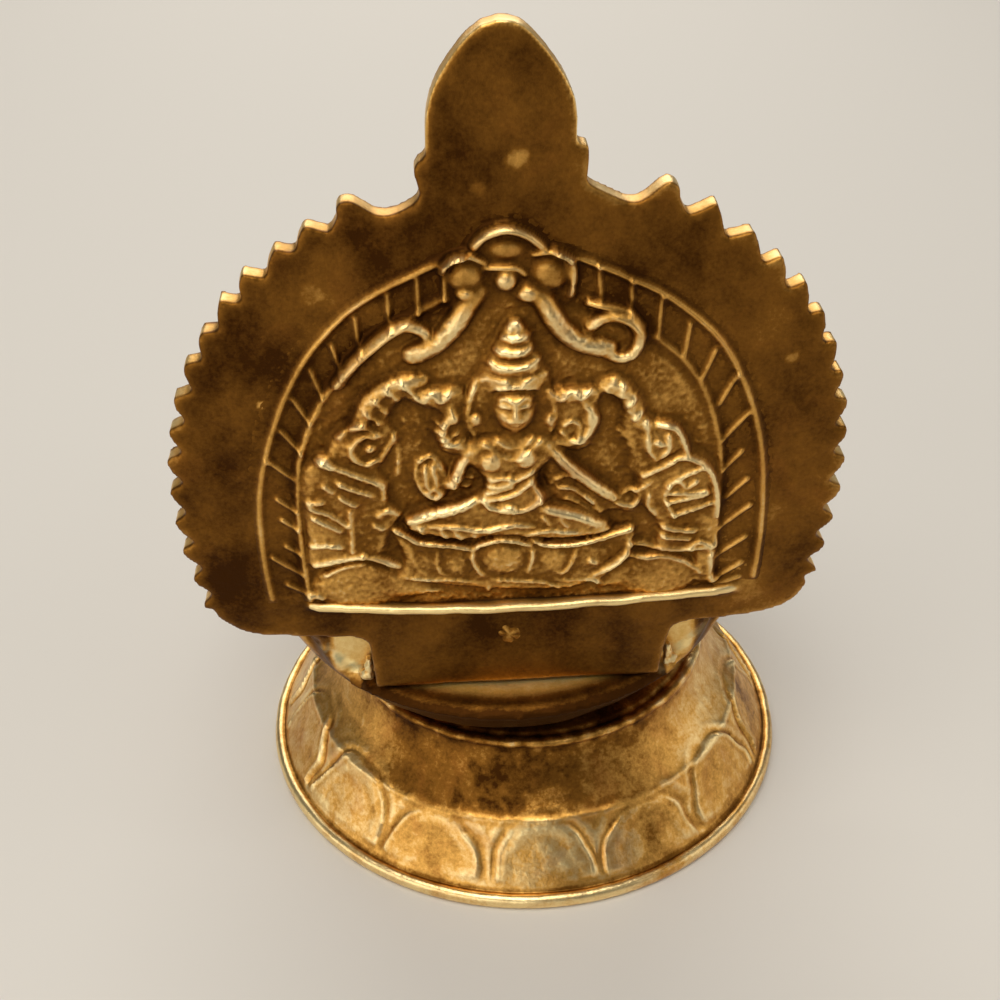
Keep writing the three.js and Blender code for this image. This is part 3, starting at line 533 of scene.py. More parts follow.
class LAMP_OT_foot(bpy.types.Operator):
    """Spin the flared foot and chase its petals"""
    bl_idname = "lamp.foot"
    bl_label = "Foot"

    def execute(self, context):
        sizes = context.scene.lamp_sizes
        foot = spun("petal_foot", foot_profile(), FOOT_STEPS, FOOT_X, FOOT_Y, closed=True)
        points = points_of(foot)
        x, y, z = (points - (FOOT_X, FOOT_Y, 0)).T
        radius = np.hypot(x, y)
        angle = np.degrees(np.arctan2(x, -y))
        # All that lies less than 1 mm inside the outer wall counts as its outside.
        outer = np.interp(z, FOOT_HEIGHTS, FOOT_RADII) - 1.0
        outside = (radius > outer) & (z > 1.6) & (z < 14)
        along = np.hypot(BAND_LOW[0] - radius, z - BAND_LOW[1])
        mark = petal_marks(angle + waves(points, 5, 3), along + 0.22 * waves(points, 4, 4), sizes.petals)
        mark = np.where(outside, mark, 0) * sizes.petal_rise / (PETAL_RISE * MM)
        crease = np.where(outside, 0.12 * np.exp(-((along - CREASE_UP) / 0.24) ** 2), 0)
        points = points + normals_of(foot) * (mark + crease)[:, None]
        # The hole for the peg and the flat round it follow the bowl's axis.
        points[:, 0] += (BOWL_X - FOOT_X) * (1 - eased(radius, 5, 14))
        set_points(foot, points)
        uneven(foot, (9, 0.05, 21), (3, 0.03, 22), (1.1, 0.012, 23),
               where=eased(points[:, 2], 0.3, 1.5) * np.where(radius > outer, 1, 0.2))
        # The joint round the bowl is rough.
        ring = eased(points[:, 2], 13.4, 14.2) * eased(radius, 18.6, 19.2)
        uneven(foot, (2.2, 0.05, 24), (0.8, 0.03, 25), where=ring)

        # The band is golden with brown patches, darker to the right as painted shade and paler to the left
        # as painted light. The neck above it is browner in the middle, and its sides are painted paler as
        # painted light.
        band = 1 - eased(points[:, 2], 7.2, 8.8)
        neck = 1 - band
        right = eased(x, 2, 22)
        left = eased(-x, 12, 23)
        patch = waves(points, 11, 31) + 0.7 * waves(points, 4.5, 32)
        stain = 0.03 + 0.12 * right * band - 0.04 * left * band
        stain += 0.16 * eased(patch, 0.1, 1.2) * (1 - 0.6 * left)
        stain += (0.42 - 0.38 * right - 0.36 * left - 0.08 * eased(x, -8, 3)) * neck
        blots = waves(points, 7, 33) + 0.5 * waves(points, 2.4, 34) + 0.35 * waves(points, 0.9, 35)
        stain += 0.24 * neck * (1 - 0.6 * right) * (1 - 0.7 * left) * eased(blots, 0.40, 1.2)
        stain += 0.12 * band * eased(blots, 0.75, 1.0) + ring * (0.05 + 0.25 * waves(points, 2.0, 36))
        stain += np.where(radius > outer - 0.5, 0, 0.25)
        wear(foot, rub=bends(foot, 3, 1.6) * (1 - 0.6 * ring), stain=stain)
        # Handled most: golden and warm, with its raised lines and its rim rubbed pale.
        metal = cast_brass("golden_cast_brass", level=0.77, rub=0.34, contrast=0.62)
        finish_piece(foot, metal, "foot_brass", 60, "foot")
        return {"FINISHED"}


# Bowl

# What cuts the bowl and its lip: how far it reaches, and its lowest and highest level.
CUT_REACH, CUT_LOW, CUT_HIGH = 40, 10, 60
# Walls of the wick lip, behind the seat and under the oil.
LIP_WALL, SEAT_WALL, FLOOR_WALL = 1.8, 2.2, 2.6


def belly(count):
    """The bowl's outside from the foot up to the rim: radius and height."""
    ends = [(17.8, FOOT_TOP), (23.2, FOOT_TOP + 4.1), (27.5, FOOT_TOP + 11), (28.2, BOWL_RIM)]
    return bezier(ends, count)


def hollow_profile(curve, wall):
    """The bowl's inside, a wall's thickness in from its outside, with a flat floor."""
    inner = []
    for (r0, z0), (r1, z1) in zip(curve, curve[1:]):
        length = math.hypot(r1 - r0, z1 - z0)
        r, z = r0 - (z1 - z0) / length * wall, z0 + (r1 - r0) / length * wall
        if z > FOOT_TOP + 3.2:
            inner.append((r, z))
    floor = FOOT_TOP + FLOOR_WALL
    hollow = [(0, floor), (inner[0][0] - 2.2, floor)] + [p for p in inner if p[1] < BOWL_RIM]
    return hollow + [(26.2, BOWL_RIM + 1), (0, BOWL_RIM + 1)]


def lip_plan(inset):
    """Plan of the wick lip: two curves from the bowl's wall to a blunt point."""
    half, root, tip = 8.5 - inset, 19.2, LIP_TIP - BOWL_Y - 0.08 - inset * 1.6
    side = [(half, root)] + bezier(
        [(half, root + 4), (half, 28.2), (1.8 - inset * 0.4, tip - 2.5), (0.6, tip)], 16)
    plan = side + [(-x, y) for x, y in reversed(side)]
    return [(BOWL_X + x, BOWL_Y + y, CUT_LOW) for x, y in plan]


def lip_side(drop):
    """Side view of the lip's channel or underside, as points of a slab across the lamp."""
    root, end = 18.2, LIP_TIP - BOWL_Y + 1
    top = BOWL_RIM + (0 if drop else 1)
    view = [(root, top), (end, top), (end, BOWL_RIM - 2.4 - drop), (26.2, BOWL_RIM - 6.4 - drop),
            (root, BOWL_RIM - 6.4 - drop)]
    return [(BOWL_X - CUT_REACH / 2, BOWL_Y + y, z) for y, z in view]


def lip_form(name, inset, drop):
    """The wick lip or its channel: its plan cut off to its side view."""
    form = slab(name, lip_plan(inset), (0, 0, CUT_REACH))
    joined(form, slab("side", lip_side(drop), (CUT_REACH, 0, 0)), "INTERSECT")
    return form


def front_block(name, bottom, back):
    """A block over all that lies in front of a face and above a floor."""
    left, right, front = BOWL_X - CUT_REACH, BOWL_X + CUT_REACH, BOWL_Y - CUT_REACH
    return block(name, (left, front, bottom), (right, back, CUT_HIGH))


def bowl_casting(wall):
    """The bowl in one casting with its wick lip, the flat seat for the plate and its peg."""
    curve = belly(40)
    bowl = spun("oil_bowl", [(0, FOOT_TOP)] + curve + [(0, BOWL_RIM)], BOWL_STEPS)
    oil = spun("oil", hollow_profile(curve, wall), BOWL_STEPS)
    joined(oil, front_block("wall", CUT_LOW, SEAT_FACE + SEAT_WALL), "DIFFERENCE")
    channel = lip_form("channel", LIP_WALL, 0)
    joined(bowl, lip_form("lip", 0, LIP_WALL), "UNION")
    joined(bowl, oil, "DIFFERENCE")
    joined(bowl, channel, "DIFFERENCE")
    joined(bowl, front_block("seat", SEAT_FLOOR, SEAT_FACE), "DIFFERENCE")
    peg = [(0, 9.7), (3.6, 9.7), (4.3, 9.95), (4.6, 10.3), (4.6, 10.9), (3.5, 10.9), (3.5, 15.4), (0, 15.4)]
    joined(bowl, spun("peg", peg, PEG_STEPS), "UNION")
    softened(bowl, BOWL_CELL, 4)
    return bowl


class LAMP_OT_bowl(bpy.types.Operator):
    """Turn the oil bowl, hollow it, add the wick lip and file the flat seat for the back plate"""
    bl_idname = "lamp.bowl"
    bl_label = "Oil bowl"

    def execute(self, context):
        bowl = bowl_casting(context.scene.lamp_sizes.bowl_wall / MM)
        points = points_of(bowl)
        x, y, z = points.T
        radius = np.hypot(x - BOWL_X, y - BOWL_Y)
        side = np.abs(x - BOWL_X)
        # The seat's outer edge is worn down and round.
        worn = eased(radius, 23.4, 25.6) * (y < SEAT_FACE - 0.4) * eased(z, SEAT_FLOOR - 2.5, SEAT_FLOOR)
        points[:, 2] -= 0.9 * worn
        # Past the filed middle the seat's face turns away.
        turned = eased(side, 17.8, 21.5) * (z > SEAT_FLOOR - 0.4)
        points[:, 1] += 1.5 * (turned * (1 - eased(y, SEAT_FACE + 0.3, SEAT_FACE + 2.4)))
        set_points(bowl, points)
        # Crusted with salts and drips of braze along the seat's lower corners.
        ragged = 1 - eased(np.abs(z - SEAT_FLOOR - 0.9 * (side - 15)), 0.3, 1.1)
        ragged = ragged * eased(side, 13.6, 15.0)
        ragged *= (1 - eased(side, 19.5, 21)) * (1 - eased(y, SEAT_FACE + 0.6, SEAT_FACE + 2.0))
        uneven(bowl, (1.5, 0.30, 46), (0.7, 0.12, 47), where=ragged)
        uneven(bowl, (10, 0.07, 41), (3.2, 0.03, 42), (1.2, 0.012, 43), where=z > FOOT_TOP + 0.4)

        # The inside is darkest, and the belly under the seat is darkened as painted shade.
        spots = points_of(bowl)
        inside = (radius < 25.5) & (z < BOWL_RIM - 0.6) & (z > FOOT_TOP + 2.4) & (y > SEAT_FACE + 2)
        under = 1 - eased(y, SEAT_FACE - 0.5, SEAT_FACE + 3)
        under = under * (1 - eased(z, SEAT_FLOOR - 1.0, SEAT_FLOOR - 0.2))
        step = eased(z, SEAT_FLOOR - 0.5, SEAT_FLOOR - 0.1) * (y < SEAT_FACE - 0.5) * (radius < 24.6)
        stain = 0.16 + 0.22 * inside + 0.1 * waves(spots, 9, 44) + 0.26 * under
        stain = stain - 0.34 * step - 0.30 * ragged
        # The seat beside the tab is filed bare, and painted paler on the left as painted light. Past the
        # filed part it is darkened as painted shade.
        seat = 1 - eased(y, SEAT_FACE - 0.4, SEAT_FACE + 0.5)
        seat = seat * eased(z, SEAT_FLOOR - 1.2, SEAT_FLOOR - 0.3)
        filed = seat * (1 - eased(side, 17.6, 18.6)) * (z > SEAT_FLOOR + 0.5)
        stain -= filed * np.where(x < BOWL_X, 0.62, 0.44)
        stain += 0.50 * (1 - eased(y, SEAT_FACE + 0.5, SEAT_FACE + 2.5)) * eased(side, 18.0, 18.8)
        # The step below the tab is bare along the tab, and is darkened towards its round edge as painted
        # shade.
        edge_shade = 0.15 * eased(radius, 20.5, 22.2) + 0.5 * eased(radius, 21.9, 23.6)
        stain += edge_shade * (y < SEAT_FACE - 0.4) * (side < 15.5)
        bare = 0.30 + 0.20 * eased(waves(spots, 0.9, 48), 0.0, 0.7)
        stain -= bare * step * (1 - eased(radius, 20.2, 22.6))
        filed = np.maximum(filed, 0.75 * step * (1 - eased(radius, 21.4, 23.4)))
        salt = np.where(x < BOWL_X, 0.75, 0.45) * ragged * eased(waves(spots, 1.8, 45), -0.2, 0.5)
        # Most rubbing is left off the worn round edge, which keeps it dark as painted shade.
        wear(bowl, rub=bends(bowl, 3, 1.5) * (1 - 0.8 * worn), filed=filed, stain=stain, salt=salt)
        # Brown from oil and soot: a dull, dark sheen with a few warm patches.
        metal = cast_brass("brown_cast_brass", level=0.52, rub=0.30)
        finish_piece(bowl, metal, "bowl_brass", 60, "bowl")
        return {"FINISHED"}


# Back plate, drawn face on: u to the right of the bowl's axis and z above the floor.

# Each side's teeth from the top down: the notch above a tooth and the tooth's tip.
RIGHT_TEETH = [
    ((14.2, 73.1), (16.6, 74.0)), ((17.2, 70.9), (19.8, 71.4)), ((20.4, 68.4), (22.4, 69.1)),
    ((22.8, 66.0), (24.7, 66.7)), ((24.9, 63.6), (26.5, 64.0)), ((26.5, 60.8), (27.9, 61.0)),
    ((27.7, 57.9), (28.9, 58.0)), ((28.3, 55.1), (29.6, 55.2)), ((28.8, 52.2), (30.0, 52.2)),
    ((29.0, 49.3), (30.2, 49.1)), ((29.0, 46.2), (30.2, 45.9)), ((28.8, 43.1), (29.9, 42.6)),
    ((28.5, 40.1), (29.5, 39.5)), ((28.1, 37.1), (29.0, 36.4)),
]
LEFT_TEETH = [
    ((-14.8, 72.7), (-16.9, 73.3)), ((-17.5, 71.0), (-19.5, 71.4)), ((-20.1, 68.9), (-22.3, 69.3)),
    ((-22.4, 66.7), (-24.3, 67.0)), ((-24.5, 64.2), (-26.2, 64.1)), ((-26.3, 61.5), (-27.9, 61.3)),
    ((-27.6, 58.5), (-29.2, 58.1)), ((-28.6, 55.4), (-30.0, 55.0)), ((-29.3, 52.3), (-30.6, 51.9)),
    ((-29.7, 49.1), (-30.85, 48.7)), ((-29.8, 45.8), (-30.85, 45.3)), ((-29.5, 42.5), (-30.6, 42.1)),
    ((-29.2, 39.4), (-30.1, 38.8)), ((-28.7, 36.4), (-29.5, 35.6)),
]
# Each side's lower edge from the tab out, and its upper edge from the teeth to the finial's tip.
RIGHT_FOOT = [
    (14.4, 23.8), (14.7, 26.5), (15.3, 29.2), (15.8, 30.0), (17.2, 30.5), (20.5, 30.7), (24.0, 31.2),
    (26.2, 31.9), (27.6, 33.0), (28.4, 34.6),
]
LEFT_FOOT = [
    (-13.9, 23.8), (-14.1, 26.5), (-14.3, 29.2), (-14.9, 30.1), (-16.4, 30.6), (-19.5, 30.8),
    (-22.5, 31.1), (-25.4, 31.5), (-27.4, 32.8), (-28.6, 34.2),
]
RIGHT_TOP = [
    (13.5, 74.6), (13.45, 75.4), (12.9, 75.95), (12.3, 75.95), (11.5, 75.35), (10.8, 74.75), (10.0, 74.35),
    (9.0, 74.5), (8.0, 74.95), (7.0, 75.5), (6.2, 75.95), (5.9, 76.4), (6.0, 77.6), (6.0, 79.0),
    (5.75, 79.35), (5.15, 79.4), (5.0, 79.9), (5.0, 81.6), (4.85, 82.8), (4.45, 83.9), (3.9, 85.0),
    (3.15, 86.1), (2.3, 87.2), (1.4, 88.2), (0.4, 88.9), (-0.9, 89.15),
]
LEFT_TOP = [
    (-14.1, 74.0), (-14.15, 74.8), (-13.7, 75.25), (-13.0, 75.3), (-12.0, 74.7), (-11.1, 74.1),
    (-10.2, 73.95), (-9.3, 74.15), (-8.4, 74.6), (-7.7, 75.1), (-7.45, 75.7), (-7.6, 76.5), (-7.85, 77.6),
    (-7.5, 78.3), (-6.95, 78.7), (-6.85, 79.4), (-6.8, 81.2), (-6.6, 82.6), (-6.25, 83.8), (-5.75, 84.9),
    (-5.1, 85.9), (-4.35, 86.9), (-3.45, 87.9), (-2.3, 88.8),
]

# How far the ledge stands out of the plate's face at each place across it, and its ends within the plate.
LEDGE = [
    (-19.9, 0.35), (-19.0, 0.9), (-12, 1.35), (-6, 1.6), (0, 1.7), (6, 1.6), (12, 1.35), (19, 0.9),
    (21.7, 0.35), (21.7, -0.6), (-19.9, -0.6),
]
LEDGE_LOW, LEDGE_THICK = 33.85, 0.85

# Small pale marks on the plate's face: place, radius and strength.
MARKS = (
    (0.3, 78.5, 1.0, 0.34), (-2.8, 76.2, 0.6, 0.26), (-16.9, 67.3, 1.1, 0.16), (24.2, 59.7, 0.6, 0.26),
    (-21.9, 57.1, 0.4, 0.6), (24.5, 34.0, 5.0, 0.12),
)

# Unevenness of the plate's casting: wavelength, height and seed.
SKIN = ((11, 0.075, 51), (4.0, 0.035, 52), (1.3, 0.012, 53))

# Above this height the outline is the finial's, and its front edge is filed back this far.
FINIAL_LOW, FINIAL_FILED = 79.2, 1.05


def teeth(rows, side):
    """A saw edge of round-backed teeth: a level upper flank, a rounded tip and a falling outer flank."""
    line = []
    last = (rows[-1][0][0] - side * 0.1, rows[-1][0][1] - 2.1)
    for i, (notch, tip) in enumerate(rows):
        after = rows[i + 1][0] if i + 1 < len(rows) else last
        mid = ((notch[0] + tip[0]) / 2, (notch[1] + tip[1]) / 2)
        fall = ((tip[0] * 0.62 + after[0] * 0.38) + side * 0.28, tip[1] * 0.55 + after[1] * 0.45)
        line += [notch, (mid[0], mid[1] + 0.02), (tip[0] - side * 0.35, tip[1] + 0.02), tip,
                 (tip[0] + side * 0.18, tip[1] - 0.45), fall,
                 (after[0] + side * 0.12, after[1] + 0.45)]
    return line + [last]


def flowing(points, count):
    """A smooth line through drawn points."""
    p = np.array([points[0], *points, points[-1]], float)
    line = []
    for a, b, c, d in zip(p, p[1:], p[2:], p[3:]):
        for t in np.arange(count) / count:
            line.append(0.5 * (2 * b + (c - a) * t + (2 * a - 5 * b + 4 * c - d) * t * t
                               + (3 * b - a - 3 * c + d) * t ** 3))
    return np.array([*line, p[-1]])


def plate_side(low, rows, top, side):
    """One side of the plate's outline, from the tab up to the finial's tip."""
    edge = [tuple(p) for p in flowing(low, 4)] + list(reversed(teeth(rows, side)))
    return edge + [tuple(p) for p in flowing(top, 3)]


def plate_outline():
    """The plate's outline, up its right side and down its left."""
    right = plate_side(RIGHT_FOOT, RIGHT_TEETH, RIGHT_TOP, 1)
    left = plate_side(LEFT_FOOT, LEFT_TEETH, LEFT_TOP, -1)
    return right + left[::-1]


def file_finial(plate, front):
    """Files the finial's front edge round."""
    pick(plate)
    edit()
    mesh = bmesh.from_edit_mesh(plate.data)
    for e in mesh.edges:
        e.select = all(abs(v.co.y - front * MM) < 1e-6 and v.co.z > FINIAL_LOW * MM for v in e.verts)
    bmesh.update_edit_mesh(plate.data)
    bpy.ops.mesh.bevel(offset=FINIAL_FILED * MM, segments=3, profile=0.6, affect="EDGES")
    done()


def straight_ledge(front):
    """The thin ledge under the figures, whose ends rise a little."""
    outline = [(BOWL_X + u, front - out, LEDGE_LOW) for u, out in LEDGE]
    ledge = slab("ledge", outline, (0, 0, LEDGE_THICK))
    softened(ledge, LEDGE_CELL, 0)
    points = points_of(ledge)
    u = points[:, 0] - BOWL_X
    points[:, 2] += 0.7 * (np.maximum(-2 - u, 0) / 17.8) ** 2 + 0.3 * (np.maximum(u + 2, 0) / 23.7) ** 2
    points[:, 2] += 0.06 * waves(points[:, :1], 6, 56, 6)
    set_points(ledge, points)
    return ledge


class LAMP_OT_back_plate(bpy.types.Operator):
    """Cut the toothed back plate with its finial, tab and ledge, and wear its edges"""
    bl_idname = "lamp.back_plate"
    bl_label = "Back plate"

    def execute(self, context):
        thick = context.scene.lamp_sizes.plate_thickness / MM
        front = PLATE_BACK - thick
        outline = [(BOWL_X + u, front, z) for u, z in plate_outline()]
        plate = slab("toothed_plate", outline, (0, thick, 0))
        file_finial(plate, front)
        plate = merged("toothed_plate", [plate, straight_ledge(front)])
        softened(plate, PLATE_CELL, 3)
        y = points_of(plate)[:, 1]
        flat = 1 - eased(np.abs(y - front), 0.1, 1.2) * (1 - eased(y, PLATE_BACK - 0.3, PLATE_BACK))
        uneven(plate, *SKIN, where=flat)
        points = points_of(plate)
        u, y, z = points[:, 0] - BOWL_X, points[:, 1], points[:, 2]
        face = y < front + 0.5
        stain = 0.08 + 0.10 * waves(points, 13, 54) + 0.07 * waves(points, 5, 55) + 0.04 * eased(-u, 5, 25)
        stain -= 0.07 * eased(u, 8, 30) * face
        # The teeth and the finial's edge are filed bright, down to where the edge turns under, and painted
        # paler still as painted highlight.
        cut = eased(y, front + 0.25, front + 0.65) * (1 - eased(y, PLATE_BACK - 0.7, PLATE_BACK - 0.1))
        leaning = eased(1 + normals_of(plate)[:, 1], 0.03, 0.38)
        cut = np.maximum(cut, leaning * eased(z, 78.8, 79.6) * (y < front + 0.8))
        above_tab = eased(z, 29.0, 34.0)
        stain -= 0.58 * cut * above_tab
        # So is the ledge, which stands out of the face; its paleness is partly rubbing and partly painted
        # light from above.
        ledge = eased(front - y, 0.25, 0.7)
        stain -= 0.45 * ledge
        ragged = 0.25 * waves(points, 0.9, 57)
        for mark_u, mark_z, wide, pale in MARKS:
            gap = np.hypot(u - mark_u, z - mark_z) / wide + ragged
            stain -= pale * (1 - eased(gap, 0.5, 1.2)) * face
        rub = bends(plate, 2, 1.4) * (0.25 + 0.75 * eased(front - y, 0.2, 0.6))
        wear(plate, rub=rub, filed=0.5 * cut * above_tab + 0.5 * ledge, stain=stain)
        # Dark on its flat face, and pale gold on all that stands out of it: rubbed through, with painted
        # highlight on its edges and ledge and painted shade in the relief's hollows.
        metal = cast_brass("dark_cast_brass", level=0.235, rub=0.78, contrast=0.38)
        finish_piece(plate, metal, "plate_brass", 60, "back_plate")
        return {"FINISHED"}


# Relief, drawn as it is seen from above its front: from this far to the left of the bowl's axis, this
# high above the floor and this far in front of the plate. What stands out is put back to its true place.
SEEN_FROM = (-7.4, 119.0, 104.0)

# Arches with round tops, inside the rib band and outside it: middle of the round and its radius.
ARCH_INNER, ARCH_OUTER = (-0.4, 46.8, 19.4), (-0.1, 47.8, 23.3)
# The key at the arch's top and the figure's head: middle and radius.
KEY, HEAD = (-0.4, 70.2, 3.6), (0.1, 55, 2.4)

# Corners of the patch that carries the relief, and how deep its hidden back lies in the plate.
PATCH_LOW, PATCH_HIGH, PATCH_DEEP = (-24.6, 34.1), (24.6, 73.9), 0.9

# Silhouettes that the rest lies on: how far they stand out, width of their rounded edge, and outline.
GROUNDS = [
    # Crown, hair and head
    (1.0, 1.0, [(-0.8, 63.9), (0.3, 64.2), (1.2, 63.6), (1.9, 61.8), (2.9, 59.6), (3.4, 58.0), (3.7, 56.0),
        (3.8, 54.2), (3.2, 52.6), (-3.4, 52.6), (-4.2, 54.2), (-4.0, 56.6), (-3.3, 58.6), (-2.4, 60.5),
        (-1.6, 62.4)]),
    # Torso
    (1.45, 1.2, [(-1.5, 53.0), (-3.6, 52.6), (-5.1, 51.5), (-4.9, 50.0), (-3.6, 48.9), (-2.9, 47.6),
        (-3.2, 46.0), (-3.8, 45.2), (0.0, 43.8), (3.0, 45.0), (2.5, 46.6), (2.4, 48.4), (3.2, 49.4),
        (4.2, 51.0), (3.0, 52.7), (1.5, 53.0)]),
    # Crossed legs
    (1.5, 1.0, [(-10.0, 43.4), (-8.4, 44.5), (-6.0, 45.1), (-3.6, 46.0), (0.0, 45.4), (2.6, 45.5),
        (5.0, 44.5), (7.5, 43.3), (9.3, 41.8), (8.2, 41.1), (5.0, 40.8), (1.5, 41.0), (-2.0, 41.4),
        (-5.0, 41.2), (-8.0, 41.8), (-9.9, 42.5)]),
    # Raised hands with their lotuses
    (1.0, 0.9, [(-4.0, 52.2), (-3.9, 55.0), (-4.3, 57.8), (-6.5, 58.2), (-9.3, 57.7), (-9.6, 56.8),
        (-7.8, 55.8), (-6.7, 55.3), (-7.2, 54.4), (-7.4, 53.2), (-7.0, 52.2), (-6.5, 51.2), (-5.0, 50.7)]),
    (1.0, 0.9, [(3.6, 51.2), (5.0, 50.7), (6.5, 50.9), (7.4, 52.3), (7.9, 54.0), (7.6, 55.5), (8.1, 56.9),
        (7.6, 57.6), (5.5, 57.4), (3.6, 57.8), (3.4, 55.5), (3.4, 53.0)]),
    # Right forearm with its shawl
    (0.85, 0.9, [(2.8, 51.6), (5.3, 49.7), (7.9, 47.1), (9.4, 45.6), (11.9, 45.6), (11.1, 43.7),
        (9.0, 43.9), (7.6, 43.3), (5.5, 44.2), (3.4, 45.5), (2.6, 47.5)]),
    # Lotus seat
    (0.95, 0.8, [(-11.5, 42.8), (-9.6, 42.0), (-5.0, 40.9), (-3.9, 40.5), (-1.2, 41.4), (1.5, 40.9),
        (6.5, 41.0), (11.2, 41.9), (10.8, 39.6), (8.6, 37.3), (7.4, 35.7), (4.0, 34.9), (-3.0, 35.5),
        (-10.8, 37.0), (-10.6, 39.5)]),
    # Elephants
    (1.0, 1.0, [(-8.0, 59.1), (-10.2, 59.0), (-12.4, 58.0), (-13.7, 55.9), (-14.6, 54.4), (-16.1, 53.5),
        (-17.0, 51.8), (-18.7, 50.5), (-19.4, 48.0), (-19.4, 42.0), (-19.2, 39.0), (-14.5, 39.5),
        (-12.3, 40.1), (-11.5, 42.5), (-10.4, 44.7), (-11.5, 46.6), (-11.3, 48.3), (-12.0, 49.6),
        (-11.9, 51.2), (-10.6, 53.4), (-10.9, 55.0), (-9.8, 56.6), (-8.0, 57.5)]),
    (1.0, 1.0, [(7.7, 58.2), (9.2, 58.5), (10.7, 57.3), (11.7, 55.4), (12.2, 54.0), (13.6, 53.5),
        (15.2, 53.0), (16.0, 51.4), (16.4, 50.1), (17.5, 49.3), (18.8, 47.4), (19.2, 45.0), (19.1, 41.0),
        (19.0, 39.0), (13.5, 39.2), (13.3, 42.0), (12.0, 44.0), (11.1, 46.5), (11.0, 48.6), (9.9, 50.9),
        (9.4, 53.2), (9.4, 55.2), (8.7, 56.4), (7.7, 56.9)]),
    # Mounds under the elephants
    (0.9, 1.4, [(-19.5, 34.9), (-19.4, 37.2), (-17.5, 38.8), (-14.5, 39.5), (-11.8, 38.8), (-9.0, 37.2),
        (-7.4, 34.9)]),
    (0.8, 1.4, [(7.6, 34.9), (9.3, 37.6), (11.5, 39.0), (14.3, 39.0), (16.8, 38.0), (19.0, 36.3),
        (19.0, 34.9)]),
    # Ground of the key
    (0.55, 1.4, [(-6.0, 69.6), (-3.4, 70.9), (-2.2, 72.2), (-0.4, 72.8), (1.4, 72.2), (2.7, 70.9),
        (5.2, 69.8), (5.2, 65.8), (2.2, 65.2), (-3.8, 65.2), (-6.0, 66.2)]),
]

# Masses: middle, half width, half height, lean in degrees, how far they stand out.
MASSES = [
    # Crown, hair and head
    (0.1, 63.2, 1.0, 1.0, 0, 1.2), (0.2, 62.2, 1.5, 0.9, 0, 1.4), (0.0, 60.9, 1.9, 1.0, 0, 1.6),
    (0.1, 59.3, 2.5, 1.1, 0, 1.7), (0.2, 57.9, 3.0, 1.1, 0, 1.7), (0.1, 55.0, 2.1, 2.6, 0, 2.1),
    (-3.4, 54.4, 0.7, 0.9, 0, 1.5), (3.2, 54.1, 0.7, 0.9, 0, 1.5), (-0.1, 52.8, 1.4, 1.2, 0, 1.2),
    # Shoulders, chest, waist and lap
    (-0.3, 51.3, 4.9, 1.5, 0, 1.35), (-0.6, 49.8, 3.1, 1.9, 0, 1.6), (-2.1, 49.7, 1.4, 1.4, 0, 2.1),
    (1.0, 50.0, 1.4, 1.4, 0, 2.1), (-0.7, 47.9, 2.1, 1.8, 0, 1.5), (-0.2, 45.5, 3.9, 2.0, 0, 1.75),
    (-0.3, 43.2, 9.2, 1.9, -3, 1.1),
    # Lotuses in the raised hands, the lowered hands
    (-6.9, 56.9, 2.5, 1.0, -4, 1.3), (5.3, 56.5, 2.7, 0.9, 3, 1.3), (-5.4, 54.7, 0.8, 1.0, 0, 1.5),
    (6.9, 53.9, 0.9, 1.2, 0, 1.4), (-7.4, 48.1, 1.6, 2.3, 8, 1.15), (10.2, 45.1, 1.3, 0.9, 0, 0.9),
    # Lotus seat
    (-1.1, 38.9, 2.5, 2.3, 0, 1.35), (-5.5, 38.7, 1.6, 2.1, 0, 1.1), (-8.4, 39.5, 1.5, 2.2, 14, 1.0),
    (3.7, 38.6, 1.9, 1.9, 0, 1.15), (7.4, 38.9, 2.3, 2.1, -16, 1.1), (0, 36.0, 9.0, 1.2, 0, 0.5),
    # Left elephant: body, head, ear, haunch and the mound under it
    (-16.2, 45.8, 3.4, 5.6, 0, 0.95), (-14.2, 52.0, 2.3, 2.2, 0, 1.25), (-12.9, 51.8, 0.7, 0.6, 0, 1.6),
    (-17.0, 50.5, 1.2, 0.8, -20, 1.4), (-17.2, 42.5, 2.1, 3.6, 0, 1.1), (-14.3, 36.3, 5.2, 2.9, 3, 0.85),
    (-11.2, 45.2, 1.8, 1.3, 0, 0.5), (-12.9, 41.5, 1.6, 2.4, 0, 0.6),
    # Right elephant: body, head, cheek, legs and mound
    (16.0, 46.2, 3.0, 4.2, 0, 1.25), (13.2, 51.2, 2.6, 2.1, -12, 1.3), (11.9, 49.2, 1.9, 2.0, 0, 0.9),
    (15.6, 41.0, 2.6, 2.2, 0, 1.0), (18.1, 37.6, 1.0, 2.4, 0, 1.0), (13.8, 35.9, 4.2, 2.7, 0, 0.85),
    # Key of the arch: ground, lobes, ball and knots
    (-0.4, 68.4, 4.9, 3.4, 0, 0.6), (-4.0, 68.2, 1.7, 1.7, 0, 1.25), (3.1, 68.2, 1.8, 1.8, 0, 1.2),
    (-0.6, 67.6, 1.1, 1.1, 0, 1.6), (-4.0, 66.6, 1.0, 0.8, 0, 1.5), (1.3, 66.3, 1.2, 0.9, 0, 1.5),
    (-0.5, 70.6, 1.8, 1.1, 0, 0.9),
]

